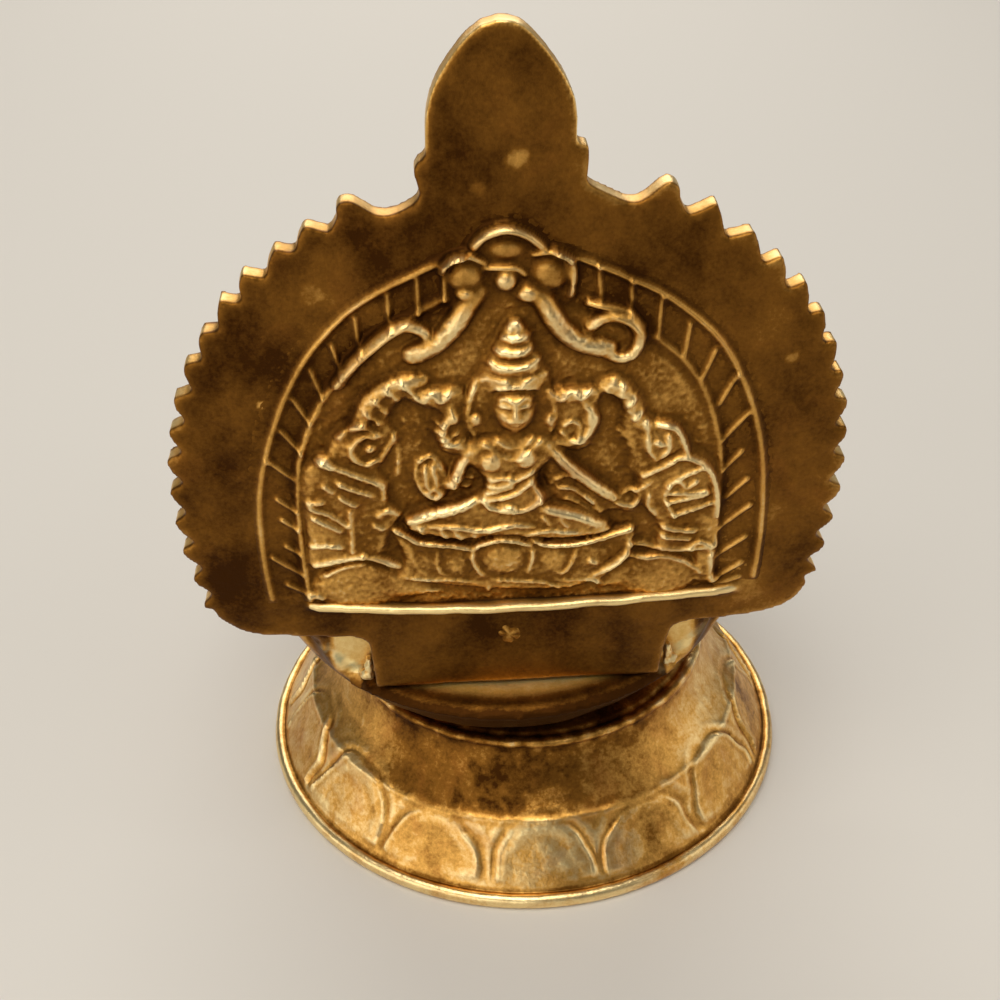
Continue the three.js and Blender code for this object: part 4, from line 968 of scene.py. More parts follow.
# Limbs, folds and ribbons with a rounded section: width, how far they stand out, and their paths.
LIMBS = [
    # Hair beside the face
    (1.1, 1.25, [(-3.2, 58.2), (-3.9, 56.4), (-4.1, 54.4), (-3.5, 52.7)], [(2.9, 57.2), (3.5, 55.6),
        (3.5, 54.0), (3.0, 52.8)]),
    # Raised arms
    (1.4, 1.45, [(-3.8, 51.6), (-5.2, 51.7), (-6.2, 52.5), (-6.2, 53.7), (-5.6, 54.9), (-5.6, 56.2)],
        [(3.4, 51.9), (5.0, 51.6), (6.3, 52.2), (6.9, 53.4), (6.7, 54.8), (5.9, 56.2)]),
    # Lowered arms
    (1.5, 1.6, [(-3.9, 51.0), (-4.7, 49.6), (-5.2, 48.4), (-5.7, 47.5), (-6.4, 47.6)]),
    (1.6, 1.7, [(2.7, 51.8), (3.7, 50.5), (4.7, 49.2), (6.0, 47.9), (7.4, 46.6), (8.9, 45.3)]),
    # Thighs, shins and feet
    (1.5, 1.95, [(-9.6, 43.3), (-8.0, 44.0), (-5.6, 44.6), (-3.4, 45.4)]),
    (1.6, 1.95, [(2.0, 44.6), (4.0, 43.9), (6.3, 43.1), (8.2, 41.9)]),
    (1.2, 2.0, [(-9.2, 42.9), (-6.2, 42.9), (-3.0, 42.3), (0.0, 42.7), (2.2, 42.3)]),
    (1.0, 1.9, [(0.9, 41.4), (2.6, 41.9), (4.4, 41.8), (6.2, 41.5)]),
    # Rim and ribs of the lotus seat
    (0.9, 1.5, [(-11.2, 42.6), (-10.0, 41.9), (-9.0, 41.2), (-7.0, 40.9), (-5.2, 40.5), (-3.8, 40.0)]),
    (0.9, 1.6, [(-3.8, 40.0), (-3.1, 40.7), (-1.4, 41.1), (0.2, 40.8), (1.5, 40.2)], [(1.6, 40.9),
        (2.8, 40.3), (4.5, 40.2), (6.2, 40.3), (8.5, 40.8), (11.0, 41.4)]),
    (0.7, 1.5, [(-3.9, 39.9), (-4.0, 38.9), (-3.5, 37.6), (-3.0, 36.9)]),
    (0.7, 1.4, [(1.7, 40.0), (1.6, 38.6), (1.2, 37.1)]),
    (0.6, 1.25, [(-7.2, 40.6), (-7.4, 39.0), (-7.1, 37.8), (-6.3, 37.2)]),
    (0.6, 1.15, [(-9.9, 41.4), (-9.7, 39.8), (-9.0, 38.2), (-8.2, 37.3)]),
    (0.7, 1.3, [(5.9, 40.0), (5.6, 38.8), (5.0, 37.5), (4.4, 37.0), (3.7, 37.4)]),
    (1.0, 1.3, [(10.8, 40.9), (10.6, 39.2), (9.4, 37.9), (8.2, 37.0), (7.2, 36.1)]),
    (0.7, 1.25, [(-10.8, 37.3), (-8.5, 36.9), (-5.8, 36.7), (-3.2, 36.2)]),
    (0.7, 1.3, [(-2.2, 36.5), (-0.8, 36.4), (1.0, 36.2), (2.8, 35.9), (4.3, 35.1)]),
    (0.6, 1.2, [(3.6, 36.1), (5.4, 36.1), (7.2, 36.0), (8.4, 35.3)]),
    (0.8, 1.1, [(-2.6, 36.6), (-2.6, 35.3)]),
    # Left elephant: trunk, tusk, foreleg, hind leg and the ridge of its mound
    (2.1, 1.35, [(-14.2, 53.0), (-13.4, 54.6), (-12.6, 56.4), (-11.2, 57.7), (-9.6, 58.3), (-8.2, 58.3)]),
    (1.0, 1.0, [(-12.4, 50.2), (-11.4, 51.8), (-10.6, 53.3)]),
    (1.8, 0.9, [(-14.3, 46.5), (-13.8, 43.8), (-13.6, 40.8)]),
    (1.0, 1.4, [(-14.6, 40.0), (-13.2, 39.7), (-12.0, 39.1), (-11.0, 38.4)]),
    # Right elephant: trunk, tusk, back, tail
    (1.9, 1.3, [(8.0, 57.2), (9.0, 57.2), (9.9, 56.3), (10.5, 54.9), (11.3, 53.4), (12.6, 52.6)]),
    (0.8, 0.9, [(9.3, 52.9), (10.4, 51.6), (11.5, 50.5), (12.1, 49.2)]),
    (0.9, 1.6, [(12.8, 52.9), (14.4, 52.6), (15.2, 51.4), (15.8, 49.7)], [(13.8, 48.9), (15.4, 49.4),
        (17.0, 48.8), (18.2, 47.3), (18.8, 45.0), (18.9, 42.6)]),
    # Garland that ties the ribbons, ribbons and their scrolls
    (2.2, 1.5, [(-3.0, 66.6), (-3.9, 65.4), (-4.7, 64.0), (-5.8, 62.7), (-7.2, 61.6), (-8.6, 60.9)]),
    (1.4, 1.3, [(-7.6, 61.3), (-7.3, 62.6), (-8.1, 63.5), (-9.4, 63.8), (-10.7, 63.2), (-12.2, 62.0),
        (-13.8, 60.4), (-15.2, 58.4)]),
    (2.2, 1.5, [(1.2, 66.6), (2.5, 65.7), (3.2, 64.4), (4.1, 62.9), (5.3, 61.8), (6.7, 61.1),
        (8.1, 60.7)]),
    (1.4, 1.3, [(6.6, 62.9), (7.7, 63.8), (9.2, 63.9), (10.3, 63.3), (10.8, 62.0), (10.5, 60.6),
        (9.4, 59.9), (8.2, 60.3)]),
    (0.8, 1.0, [(6.3, 65.3), (8.2, 65.0), (9.9, 64.4), (11.1, 63.0)]),
    # Half rings of the key
    (1.0, 1.45, [(-3.2, 70.7), (-2.3, 71.7), (-0.5, 72.2), (1.2, 71.6), (2.5, 70.4)]),
    (0.7, 1.3, [(-2.4, 68.9), (-1.1, 68.9), (0.2, 68.8), (1.0, 68.1)]),
    (0.7, 1.35, [(-6.0, 68.6), (-5.2, 69.8), (-3.6, 70.0), (-2.3, 69.2)]),
    (0.7, 1.3, [(1.7, 69.9), (3.4, 70.1), (4.8, 69.3), (5.1, 67.6), (4.7, 66.0)]),
]

# Raised lines that follow what they lie on: width, rise at both ends, how far their ground stands out,
# and their paths. A line that falls instead of rising is cut in.
LINES = [
    # Arch lines
    (0.6, 0.65, 0.5, 0, [(3.6, 70.4), (7.0, 68.9), (9.5, 67.7), (13.0, 65.8), (17.0, 62.4), (19.4, 58.9),
        (21.3, 54.5), (22.5, 50.0), (23.1, 45.0), (23.3, 40.0), (23.1, 35.4)]),
    (0.6, 0.65, 0.4, 0, [(-4.2, 70.4), (-8.2, 68.7), (-12.4, 66.5), (-15.2, 64.2), (-18.2, 60.5),
        (-20.6, 55.8), (-22.4, 50.6), (-23.3, 46.0), (-23.5, 40.0), (-23.2, 35.4)]),
    (0.6, 0.25, 0.5, 0.2, [(6.2, 65.9), (8.6, 64.6), (11.0, 62.8), (12.9, 61.4), (14.8, 59.6),
        (16.6, 56.9), (17.9, 53.5), (18.7, 50.0), (19.0, 45.0), (19.0, 40.0), (18.9, 35.4)]),
    (0.65, 0.35, 0.65, 0.2, [(-5.8, 66.4), (-8.4, 65.0), (-11.2, 62.9), (-14.2, 60.2), (-15.9, 58.2),
        (-17.4, 55.8), (-18.6, 53.0), (-19.4, 50.0), (-19.8, 45.0), (-19.8, 40.0), (-19.6, 35.4)]),
    # Head: band of hair, brows, hollows of the eyes, lids, nose, cheeks, lips, chin
    (0.5, 0.35, 0.35, 1.9, [(-1.9, 56.9), (-0.9, 57.3), (0.1, 57.4), (1.1, 57.3), (2.1, 56.9)]),
    (0.32, 0.34, 0.34, 2.0, [(-1.35, 56.0), (-0.85, 56.3), (-0.25, 56.05)], [(0.45, 56.05), (1.05, 56.3),
        (1.55, 56.0)]),
    (0.5, -0.3, -0.3, 2.0, [(-1.2, 55.6), (-0.8, 55.65), (-0.4, 55.6)], [(0.6, 55.6), (1.0, 55.65),
        (1.4, 55.6)]),
    (0.34, 0.42, 0.42, 2.0, [(-1.15, 55.35), (-0.8, 55.45), (-0.45, 55.35)], [(0.65, 55.35), (1.0, 55.45),
        (1.35, 55.35)]),
    (0.5, 0.25, 0.6, 2.0, [(0.1, 56.0), (0.1, 55.3), (0.1, 54.7)]),
    (0.7, 0.15, 0.15, 2.0, [(-0.9, 54.7), (-0.85, 54.4)], [(1.1, 54.7), (1.05, 54.4)]),
    (0.4, 0.4, 0.4, 2.0, [(-0.4, 54.05), (0.1, 54.1), (0.6, 54.05)]),
    (0.3, -0.25, -0.25, 2.0, [(-0.35, 53.82), (0.1, 53.78), (0.55, 53.82)]),
    (0.4, 0.34, 0.34, 2.0, [(-0.2, 53.55), (0.1, 53.5), (0.4, 53.55)]),
    (0.6, 0.18, 0.18, 1.9, [(-0.1, 52.9), (0.3, 52.9)]),
    # Crown bands
    (0.6, 0.35, 0.35, 1.6, [(-2.1, 59.7), (-0.6, 59.4), (0.9, 59.5), (2.3, 59.9)], [(-1.6, 61.0),
        (-0.4, 60.8), (0.9, 60.9), (1.6, 61.2)]),
    (0.6, 0.35, 0.3, 1.4, [(-1.0, 62.3), (0.2, 62.2), (1.5, 62.5)]),
    (0.5, 0.3, 0.3, 1.6, [(0.9, 58.1), (2.0, 58.4), (3.0, 58.3)], [(-2.7, 58.2), (-1.6, 58.3),
        (-0.6, 58.1)]),
    # Necklaces
    (0.4, 0.25, 0.25, 1.3, [(-1.6, 52.3), (-0.9, 51.7), (0.0, 51.5), (0.9, 51.7), (1.6, 52.4)]),
    (0.4, 0.25, 0.25, 1.6, [(-2.7, 51.7), (-1.3, 50.6), (-0.3, 50.1), (0.9, 50.6), (2.4, 51.9)]),
    # Armlets, wrists and lotus stalks
    (0.4, 0.35, 0.35, 1.4, [(-7.0, 54.3), (-6.2, 53.9)], [(-7.1, 53.4), (-6.3, 53.1)], [(-6.7, 52.3),
        (-5.9, 52.4), (-5.1, 52.9)], [(-6.4, 51.6), (-5.4, 51.8), (-4.4, 52.1)], [(4.2, 52.6), (5.0, 51.9),
        (6.3, 51.4)]),
    (0.4, 0.35, 0.35, 1.2, [(4.4, 53.4), (5.2, 53.8), (5.9, 53.2), (5.7, 52.2)]),
    (0.4, 0.3, 0.3, 1.3, [(-8.9, 57.2), (-8.0, 56.3), (-7.2, 57.3), (-6.4, 56.3), (-5.6, 57.2)],
        [(3.2, 56.9), (4.1, 56.0), (5.0, 57.0), (5.9, 56.1), (6.9, 57.0)]),
    # Fingers of the left hand, a ring below them, sleeve lines
    (0.5, 0.5, 0.4, 1.1, [(-8.7, 49.9), (-9.0, 48.4), (-8.6, 46.9), (-7.6, 45.9), (-6.5, 46.3)],
        [(-8.4, 50.0), (-7.6, 50.4), (-6.8, 49.7), (-6.2, 48.7), (-6.0, 47.9)]),
    (0.4, 0.35, 0.35, 1.1, [(-8.1, 49.6), (-8.1, 48.3), (-7.9, 47.4)], [(-7.4, 49.6), (-7.2, 48.4),
        (-7.1, 47.6)], [(-7.9, 46.7), (-7.4, 47.2), (-6.8, 46.7), (-7.3, 46.2), (-7.9, 46.6)]),
    (0.5, 0.4, 0.4, 1.4, [(-5.6, 48.3), (-4.7, 47.9), (-3.8, 47.8)], [(-5.6, 47.4), (-4.9, 47.0),
        (-4.2, 46.9)]),
    # Right forearm, its shawl and hand
    (0.4, 0.35, 0.35, 1.3, [(3.8, 47.5), (4.6, 47.9), (5.4, 47.9)]),
    (0.4, 0.35, 0.35, 1.2, [(4.1, 46.6), (5.2, 46.5), (6.2, 45.8), (7.3, 44.9)]),
    (0.4, 0.3, 0.3, 1.0, [(4.8, 45.6), (6.0, 45.0), (7.2, 44.0)]),
    (0.4, 0.3, 0.3, 0.8, [(6.6, 45.8), (7.4, 44.9), (7.9, 43.9)]),
    (0.45, 0.45, 0.45, 0.9, [(9.2, 45.2), (10.9, 46.1), (11.5, 45.2), (10.9, 44.3), (9.4, 44.8)]),
    (0.4, 0.3, 0.2, 0.5, [(11.0, 46.2), (11.9, 46.9), (12.5, 47.5)]),
    # Folds of the sash and hem
    (0.45, 0.4, 0.4, 1.6, [(-2.3, 47.6), (-1.4, 47.9), (-0.4, 47.9)]),
    (0.45, 0.45, 0.45, 1.6, [(-2.5, 46.9), (-1.2, 47.1), (0.2, 47.7), (1.7, 48.6)]),
    (0.45, 0.45, 0.45, 1.7, [(-2.6, 46.2), (-1.4, 46.5), (-0.2, 46.9)], [(-2.3, 45.6), (-0.8, 45.9),
        (0.4, 46.4), (1.6, 47.4)]),
    (0.6, 0.6, 0.6, 1.7, [(-2.9, 45.4), (-2.2, 44.6), (-0.4, 44.2), (1.2, 44.4), (2.4, 45.2)]),
    (0.6, 0.5, 0.5, 1.7, [(-0.9, 45.2), (-0.3, 45.1)]),
    (0.5, 0.4, 0.4, 1.7, [(1.8, 47.0), (2.3, 46.0), (2.6, 45.2)]),
    # Folds over the legs
    (0.4, 0.4, 0.4, 1.6, [(-6.9, 42.9), (-6.4, 41.8)], [(-5.6, 42.6), (-5.0, 41.6)], [(-8.8, 43.0),
        (-8.5, 42.2)]),
    (0.4, 0.35, 0.35, 1.6, [(-3.9, 42.2), (-3.6, 41.4)], [(2.6, 43.8), (3.2, 42.9)], [(4.2, 43.4),
        (4.9, 42.6)]),
    # Left elephant: ear, cheek, harness, leg edges, feet and mound
    (0.5, 0.5, 0.5, 1.2, [(-12.4, 52.9), (-13.2, 53.1), (-14.1, 52.6), (-14.6, 51.6), (-14.2, 50.6),
        (-13.3, 50.1), (-12.4, 50.4)]),
    (0.6, 0.55, 0.55, 1.2, [(-15.6, 53.0), (-14.6, 53.8), (-13.4, 54.2)]),
    (0.6, 0.5, 0.5, 1.0, [(-17.3, 50.7), (-16.0, 49.9), (-14.0, 48.9), (-12.0, 47.8), (-11.8, 46.4)]),
    (0.5, 0.5, 0.4, 0.9, [(-15.9, 48.3), (-14.6, 47.6), (-13.0, 46.9)]),
    (0.5, 0.45, 0.45, 0.9, [(-17.2, 48.4), (-16.5, 47.8)], [(-15.8, 47.0), (-14.6, 46.2)], [(-18.9, 46.6),
        (-17.5, 46.7)], [(-18.7, 45.8), (-17.0, 44.9), (-15.5, 43.6)], [(-18.5, 44.6), (-17.3, 43.9),
        (-16.1, 43.1)], [(-19.0, 41.3), (-17.6, 41.5), (-16.2, 41.2)]),
    (0.5, 0.4, 0.4, 0.9, [(-15.1, 45.2), (-15.1, 43.0), (-15.2, 40.6)]),
    (0.6, 0.5, 0.5, 0.9, [(-18.9, 38.9), (-17.2, 39.4), (-15.2, 39.8), (-14.2, 40.2)]),
    (0.5, 0.5, 0.5, 0.9, [(-18.0, 37.7), (-16.4, 38.5), (-14.4, 38.9)]),
    (0.6, 0.45, 0.45, 0.6, [(-19.4, 36.2), (-18.4, 35.7)]),
    (0.5, 0.4, 0.4, 0.6, [(-12.6, 44.9), (-11.6, 45.3), (-10.6, 44.7)], [(-12.9, 44.0), (-12.2, 43.7)]),
    (0.4, 0.3, 0.3, 0.4, [(-10.7, 53.6), (-10.4, 51.4), (-10.6, 49.2)]),
    # Rings of its trunk
    (0.4, 0.4, 0.4, 1.3, [(-13.1, 54.2), (-11.9, 53.3)], [(-13.0, 55.7), (-11.9, 54.5)], [(-12.2, 56.9),
        (-11.2, 55.5)], [(-11.1, 57.9), (-10.1, 56.7)], [(-9.8, 58.6), (-9.0, 57.6)]),
    # Right elephant: rings of its trunk, ear, eye, blanket, girths, legs and mound
    (0.4, 0.4, 0.4, 1.2, [(8.1, 56.9), (9.0, 56.4)]),
    (0.4, 0.35, 0.35, 1.2, [(9.6, 57.4), (9.4, 56.4)], [(10.7, 56.0), (10.0, 55.4)], [(11.3, 54.6),
        (10.6, 54.0)]),
    (0.5, 0.4, 0.4, 1.2, [(11.9, 53.4), (12.0, 52.0), (12.2, 50.4), (12.9, 49.3)], [(13.9, 51.9),
        (14.0, 50.6), (13.4, 49.6)]),
    (0.6, 0.4, 0.4, 1.2, [(12.8, 51.5), (13.2, 51.3)]),
    (0.5, 0.45, 0.45, 1.0, [(11.7, 47.6), (13.0, 48.3), (14.5, 49.0)]),
    (0.45, 0.45, 0.45, 1.2, [(14.2, 46.3), (15.4, 47.3), (17.2, 48.2)], [(14.4, 45.5), (16.0, 45.5),
        (17.8, 45.6)], [(14.2, 44.4), (15.6, 44.8), (17.9, 45.3)], [(14.9, 42.9), (16.6, 43.5),
        (18.3, 44.2)], [(14.2, 46.3), (13.9, 45.2), (14.3, 44.0), (14.9, 42.9)]),
    (0.45, 0.35, 0.35, 1.2, [(15.2, 46.9), (15.9, 46.2), (16.8, 46.9)]),
    (0.45, 0.45, 0.45, 1.0, [(13.9, 41.7), (15.3, 41.3), (16.9, 41.1)], [(13.9, 40.6), (15.2, 40.4),
        (16.5, 40.2)]),
    (0.6, 0.5, 0.5, 0.9, [(11.2, 39.8), (12.4, 39.6), (13.6, 39.1), (15.8, 38.9), (18.2, 39.1),
        (18.9, 38.4)]),
    (0.5, 0.4, 0.4, 0.9, [(16.6, 39.4), (17.6, 39.9), (18.7, 39.3)]),
    (0.5, 0.5, 0.5, 0.8, [(11.2, 38.5), (12.6, 38.2), (14.4, 38.2), (16.4, 37.4), (17.7, 36.3)]),
    (0.7, 0.5, 0.5, 0.7, [(8.0, 36.0), (9.2, 37.3), (10.9, 38.9)]),
    (0.5, 0.4, 0.4, 0.8, [(18.7, 38.2), (18.8, 36.8), (18.8, 35.5)]),
    (0.5, 0.35, 0.35, 0.2, [(19.3, 34.6), (20.6, 35.0), (21.7, 35.4)]),
    (0.4, 0.3, 0.3, 0.5, [(12.4, 46.0), (12.2, 44.8), (13.0, 43.6)]),
    # Lotus seat: a bead on its right petal
    (0.6, 0.45, 0.45, 1.0, [(7.1, 38.6), (7.6, 38.4)]),
]

# Slanting ribs between the arch lines, each from its outer to its inner end, and their section as above.
RIB_SECTION = (0.42, 0.46, 0.40, 0.1)
RIBS = [
    ((4.4, 69.8), (4.9, 66.6)), ((7.0, 69.0), (7.3, 66.1)), ((9.8, 67.6), (9.9, 64.7)),
    ((12.4, 66.0), (12.3, 62.3)), ((15.0, 63.4), (14.7, 60.3)), ((17.4, 60.8), (16.4, 58.0)),
    ((19.5, 58.3), (18.1, 55.3)), ((20.8, 54.3), (18.7, 51.6)), ((20.6, 50.3), (19.0, 48.4)),
    ((21.4, 47.2), (19.5, 45.2)), ((21.9, 44.2), (19.2, 41.9)), ((21.8, 40.6), (19.2, 38.6)),
    ((21.7, 37.5), (19.2, 35.9)), ((-5.8, 69.6), (-5.8, 66.6)), ((-8.0, 68.5), (-8.0, 65.3)),
    ((-10.5, 67.2), (-10.5, 64.1)), ((-13.3, 65.1), (-13.1, 62.0)), ((-15.4, 62.6), (-14.8, 60.0)),
    ((-17.4, 60.3), (-16.6, 57.6)), ((-19.2, 57.6), (-17.9, 55.1)), ((-20.5, 54.4), (-18.9, 52.1)),
    ((-22.0, 51.4), (-19.9, 49.4)), ((-21.5, 47.2), (-20.0, 45.9)), ((-21.3, 44.9), (-20.0, 43.8)),
    ((-21.2, 41.9), (-20.0, 41.0)), ((-22.6, 40.6), (-20.0, 38.6)), ((-21.5, 37.4), (-19.4, 36.2)),
]


def blurred(field, reach):
    """A grid of values softened over a number of cells."""
    n = int(math.ceil(3 * reach))
    weight = np.exp(-0.5 * (np.arange(-n, n + 1) / reach) ** 2)
    weight /= weight.sum()
    for axis in (0, 1):
        pad = [(n, n) if a == axis else (0, 0) for a in (0, 1)]
        wide = np.pad(field, pad, mode="edge")
        field = sum(w * np.take(wide, range(i, i + field.shape[axis]), axis) for i, w in enumerate(weight))
    return field


class Relief:
    """Heights above the plate's face, in millimetres, on a grid."""

    def __init__(self, low, high, cell):
        self.cell = cell
        self.u = np.arange(low[0], high[0] + cell / 2, cell)
        self.z = np.arange(low[1], high[1] + cell / 2, cell)
        self.U, self.Z = np.meshgrid(self.u, self.z)
        self.h = np.zeros_like(self.U)

    def window(self, low, high):
        """The part of the grid between two corners."""
        i = np.searchsorted(self.u, (low[0], high[0]))
        j = np.searchsorted(self.z, (low[1], high[1]))
        return slice(*j), slice(*i)

    def within(self, u, z, radius):
        """How far within an arch with a round top each point lies."""
        return radius - np.hypot(self.U - u, np.maximum(self.Z - z, 0))

    def placed(self, points, out):
        """Puts drawn points that stand out from the face where they truly are."""
        p = np.array(points, float)
        eye_u, eye_z, away = SEEN_FROM
        return p + out / away * (np.array([eye_u, eye_z]) - p)

    def near(self, points, reach):
        """Distance to a path, and how far along it, for the part of the grid round it."""
        win = self.window(points.min(0) - reach, points.max(0) + reach)
        U, Z = self.U[win], self.Z[win]
        best, along = np.full(U.shape, 99.0), np.zeros(U.shape)
        for k, (a, b) in enumerate(zip(points, points[1:])):
            d = b - a
            t = np.clip(((U - a[0]) * d[0] + (Z - a[1]) * d[1]) / max(d @ d, 1e-9), 0, 1)
            gap = np.hypot(U - a[0] - t * d[0], Z - a[1] - t * d[1])
            closer = gap < best
            along[closer] = (k + t[closer]) / (len(points) - 1)
            best[closer] = gap[closer]
        return win, best, along

    def ground(self, top, edge, points):
        """A flat silhouette with a rounded edge."""
        outline = flowing(self.placed([*points, points[0]], top), 4)
        win, gap, _ = self.near(outline, 0.2)
        U, Z = self.U[win], self.Z[win]
        inside = np.zeros(U.shape, bool)
        for (u0, z0), (u1, z1) in zip(outline, outline[1:]):
            if z0 != z1:
                inside ^= ((z0 > Z) != (z1 > Z)) & (U < (u1 - u0) * (Z - z0) / (z1 - z0) + u0)
        slope = 1 - np.clip(np.where(inside, gap, 0) / edge, 0, 1)
        self.blend(win, top * np.sqrt(1 - slope * slope))

    def mass(self, u, z, half_u, half_z, lean, top):
        """A rounded swelling."""
        (u, z), = self.placed([(u, z)], top)
        reach = max(half_u, half_z)
        win = self.window((u - reach, z - reach), (u + reach, z + reach))
        turn = math.radians(lean)
        du, dz = self.U[win] - u, self.Z[win] - z
        x = (du * math.cos(turn) + dz * math.sin(turn)) / half_u
        y = (dz * math.cos(turn) - du * math.sin(turn)) / half_z
        self.blend(win, top * np.clip(1 - (x * x + y * y) ** 1.4, 0, 1) ** 0.55)

    def limb(self, width, top, points):
        """A round bar along a path, a little lower at its ends."""
        path = flowing(self.placed(points, top), 6)
        win, gap, along = self.near(path, width)
        ends = 1 - 0.25 * np.abs(2 * along - 1) ** 3
        self.blend(win, top * ends * np.clip(1 - (2 * gap / width) ** 2, 0, 1) ** 0.55)

    def blend(self, win, height):
        """Joins a form to those already there, with a small fillet where they meet."""
        k = 9.0
        both = np.logaddexp(self.h[win] * k, height * k) / k - math.log(2) / k
        self.h[win] = np.where(height > 0.02, np.maximum(both, self.h[win]), self.h[win])

    def line(self, width, start, end, ground, points):
        """A fine ridge laid on what is already there."""
        path = self.placed(points, ground)
        if len(points) > 2:
            path = flowing(self.placed(points, ground + start), 6)
        win, gap, along = self.near(path, width * 1.6)
        rise = start + (end - start) * along
        self.h[win] += rise * np.exp(-(gap / (width * 0.5)) ** 2)

    def draw(self):
        """Draws all the forms, and returns how far within the arch each point lies."""
        arch = self.within(*ARCH_INNER)
        self.h += 0.22 * eased(arch, -0.3, 0.8) + 0.15 * eased(arch, 1, 9)
        for ground in GROUNDS:
            self.ground(*ground)
        for mass in MASSES:
            self.mass(*mass)
        for width, top, *paths in LIMBS:
            for path in paths:
                self.limb(width, top, path)
        for width, start, end, ground, *paths in LINES:
            for path in paths:
                self.line(width, start, end, ground, path)
        for rib in RIBS:
            self.line(*RIB_SECTION, rib)
        self.h = blurred(self.h, 0.10 / self.cell)
        return arch

    def roughen(self, inside):
        """Sandy cast skin within the arch, finer outside it and on the figure's head."""
        spots = np.stack([self.U.ravel(), self.Z.ravel()], 1)
        grain = 0.045 * waves(spots, 0.9, 61, 60) + 0.034 * waves(spots, 0.45, 62, 60)
        grain = grain + 0.03 * waves(spots, 2.4, 63)
        u, z, radius = HEAD
        head = np.exp(-((self.U - u) ** 2 + (self.Z - z) ** 2) / radius ** 2)
        self.h += grain.reshape(self.h.shape) * (0.3 + 0.7 * inside) * (1 - 0.7 * head)

    def bulge(self):
        """How much each point stands proud of what is round it, or lies below it: pale where proud, as
        rubbed metal and painted highlight, and dark below, as painted shade.
        """
        proud = self.h - blurred(self.h, 0.55 / self.cell)
        return 0.62 * np.tanh(5 * np.maximum(proud, 0)) - 0.34 * np.tanh(5 * np.maximum(-proud, 0))

    def past(self):
        """How far past the outer arch line and the key each point lies."""
        u, z, radius = KEY
        return np.minimum(-self.within(*ARCH_OUTER), np.hypot(self.U - u, self.Z - z) - radius)


class LAMP_OT_relief(bpy.types.Operator):
    """Shape the relief: arch with ribs, seated figure on a lotus, two elephants and ribbons"""
    bl_idname = "lamp.relief"
    bl_label = "Relief"

    def execute(self, context):
        sizes = context.scene.lamp_sizes
        front = PLATE_BACK - sizes.plate_thickness / MM
        art = Relief(PATCH_LOW, PATCH_HIGH, sizes.relief_cell / MM)
        inside = eased(art.draw(), -0.5, 0.8)
        art.roughen(inside)
        past = art.past()
        # Past the outer line, and below the ledge's ends, the patch dips into the plate.
        over = 0.7 * eased(np.abs(art.U), 18.0, 19.5)
        dip = np.maximum(eased(past, 0.4, 1.3), 1 - eased(art.Z - over, 34.15, 34.6))
        height = art.h - 0.4 * dip

        start()
        across, up = len(art.u) - 1, len(art.z) - 1
        bpy.ops.mesh.primitive_grid_add(x_subdivisions=across, y_subdivisions=up, size=1)
        patch = context.object
        patch.name = patch.data.name = "plate_relief"
        flat = points_of(patch) * MM + 0.5
        i = np.rint(flat[:, 0] * across).astype(int)
        j = np.rint(flat[:, 1] * up).astype(int)
        face = np.stack([BOWL_X + art.u[i], np.full(len(i), front), art.z[j]], 1)
        skin = sum(high * waves(face, length, seed) for length, high, seed in SKIN)
        points = face.copy()
        points[:, 1] -= height[j, i] + skin
        set_points(patch, points)
        stain = 0.03 - 0.17 * inside[j, i] - 0.18 * eased(art.h[j, i], 0.3, 2.0)
        stain = stain + 0.08 * waves(points, 13, 54) + 0.06 * waves(points, 5, 55)
        # Rubbed pale and painted highlight where the relief stands proud, painted shade in its hollows.
        wear(patch, rub=art.bulge()[j, i], stain=stain)

        # What lies well past the outer line goes, and the edge is sunk into the plate and closed.
        edit()
        mesh = bmesh.from_edit_mesh(patch.data)
        sunk = past[j, i] > 1.5
        for v in mesh.verts:
            v.select = bool(sunk[v.index])
        mesh.select_flush_mode()
        bmesh.update_edit_mesh(patch.data)
        bpy.ops.mesh.delete(type="VERT")
        bpy.ops.mesh.select_all(action="DESELECT")
        bpy.ops.mesh.select_mode(type="EDGE")
        bpy.ops.mesh.select_non_manifold()
        bpy.ops.mesh.extrude_region_move(TRANSFORM_OT_translate={"value": (0, PATCH_DEEP * MM, 0)})
        bpy.ops.mesh.edge_face_add()
        bpy.ops.mesh.select_mode(type="VERT")
        face_out()
        done()
        finish_piece(patch, bpy.data.materials["dark_cast_brass"], "plate_brass", 80)
        return {"FINISHED"}


# Fittings

# Beads of a braze seam: place across, up and deep, half width and half height.
BEADS = ((0.30, 0.55, 0.55, 0.62, 0.75), (0.72, 0.40, 0.50, 0.50, 0.55),
         (0.25, 1.30, 0.50, 0.48, 0.85), (0.18, 2.00, 0.45, 0.34, 0.60))


def box_of(node):
    """Low and high corner of a node's box, in millimetres."""
    return [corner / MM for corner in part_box(node)]


def make_washer():
    """The washer under the foot's top, with its edges broken."""
    low, high = box_of("peg_washer")
    hole, reach, bevel = 3.8, (high.x - low.x) / 2, 0.15
    washer = spun("peg_washer_ring", [
        (hole, low.z), (reach - bevel, low.z), (reach, low.z + bevel), (reach, high.z - bevel),
        (reach - bevel, high.z), (hole, high.z)], WASHER_STEPS, closed=True)
    wear(washer, rub=0, stain=0.3)
    finish_piece(washer, bpy.data.materials["brown_cast_brass"], "washer_brass", 30, "peg_washer")


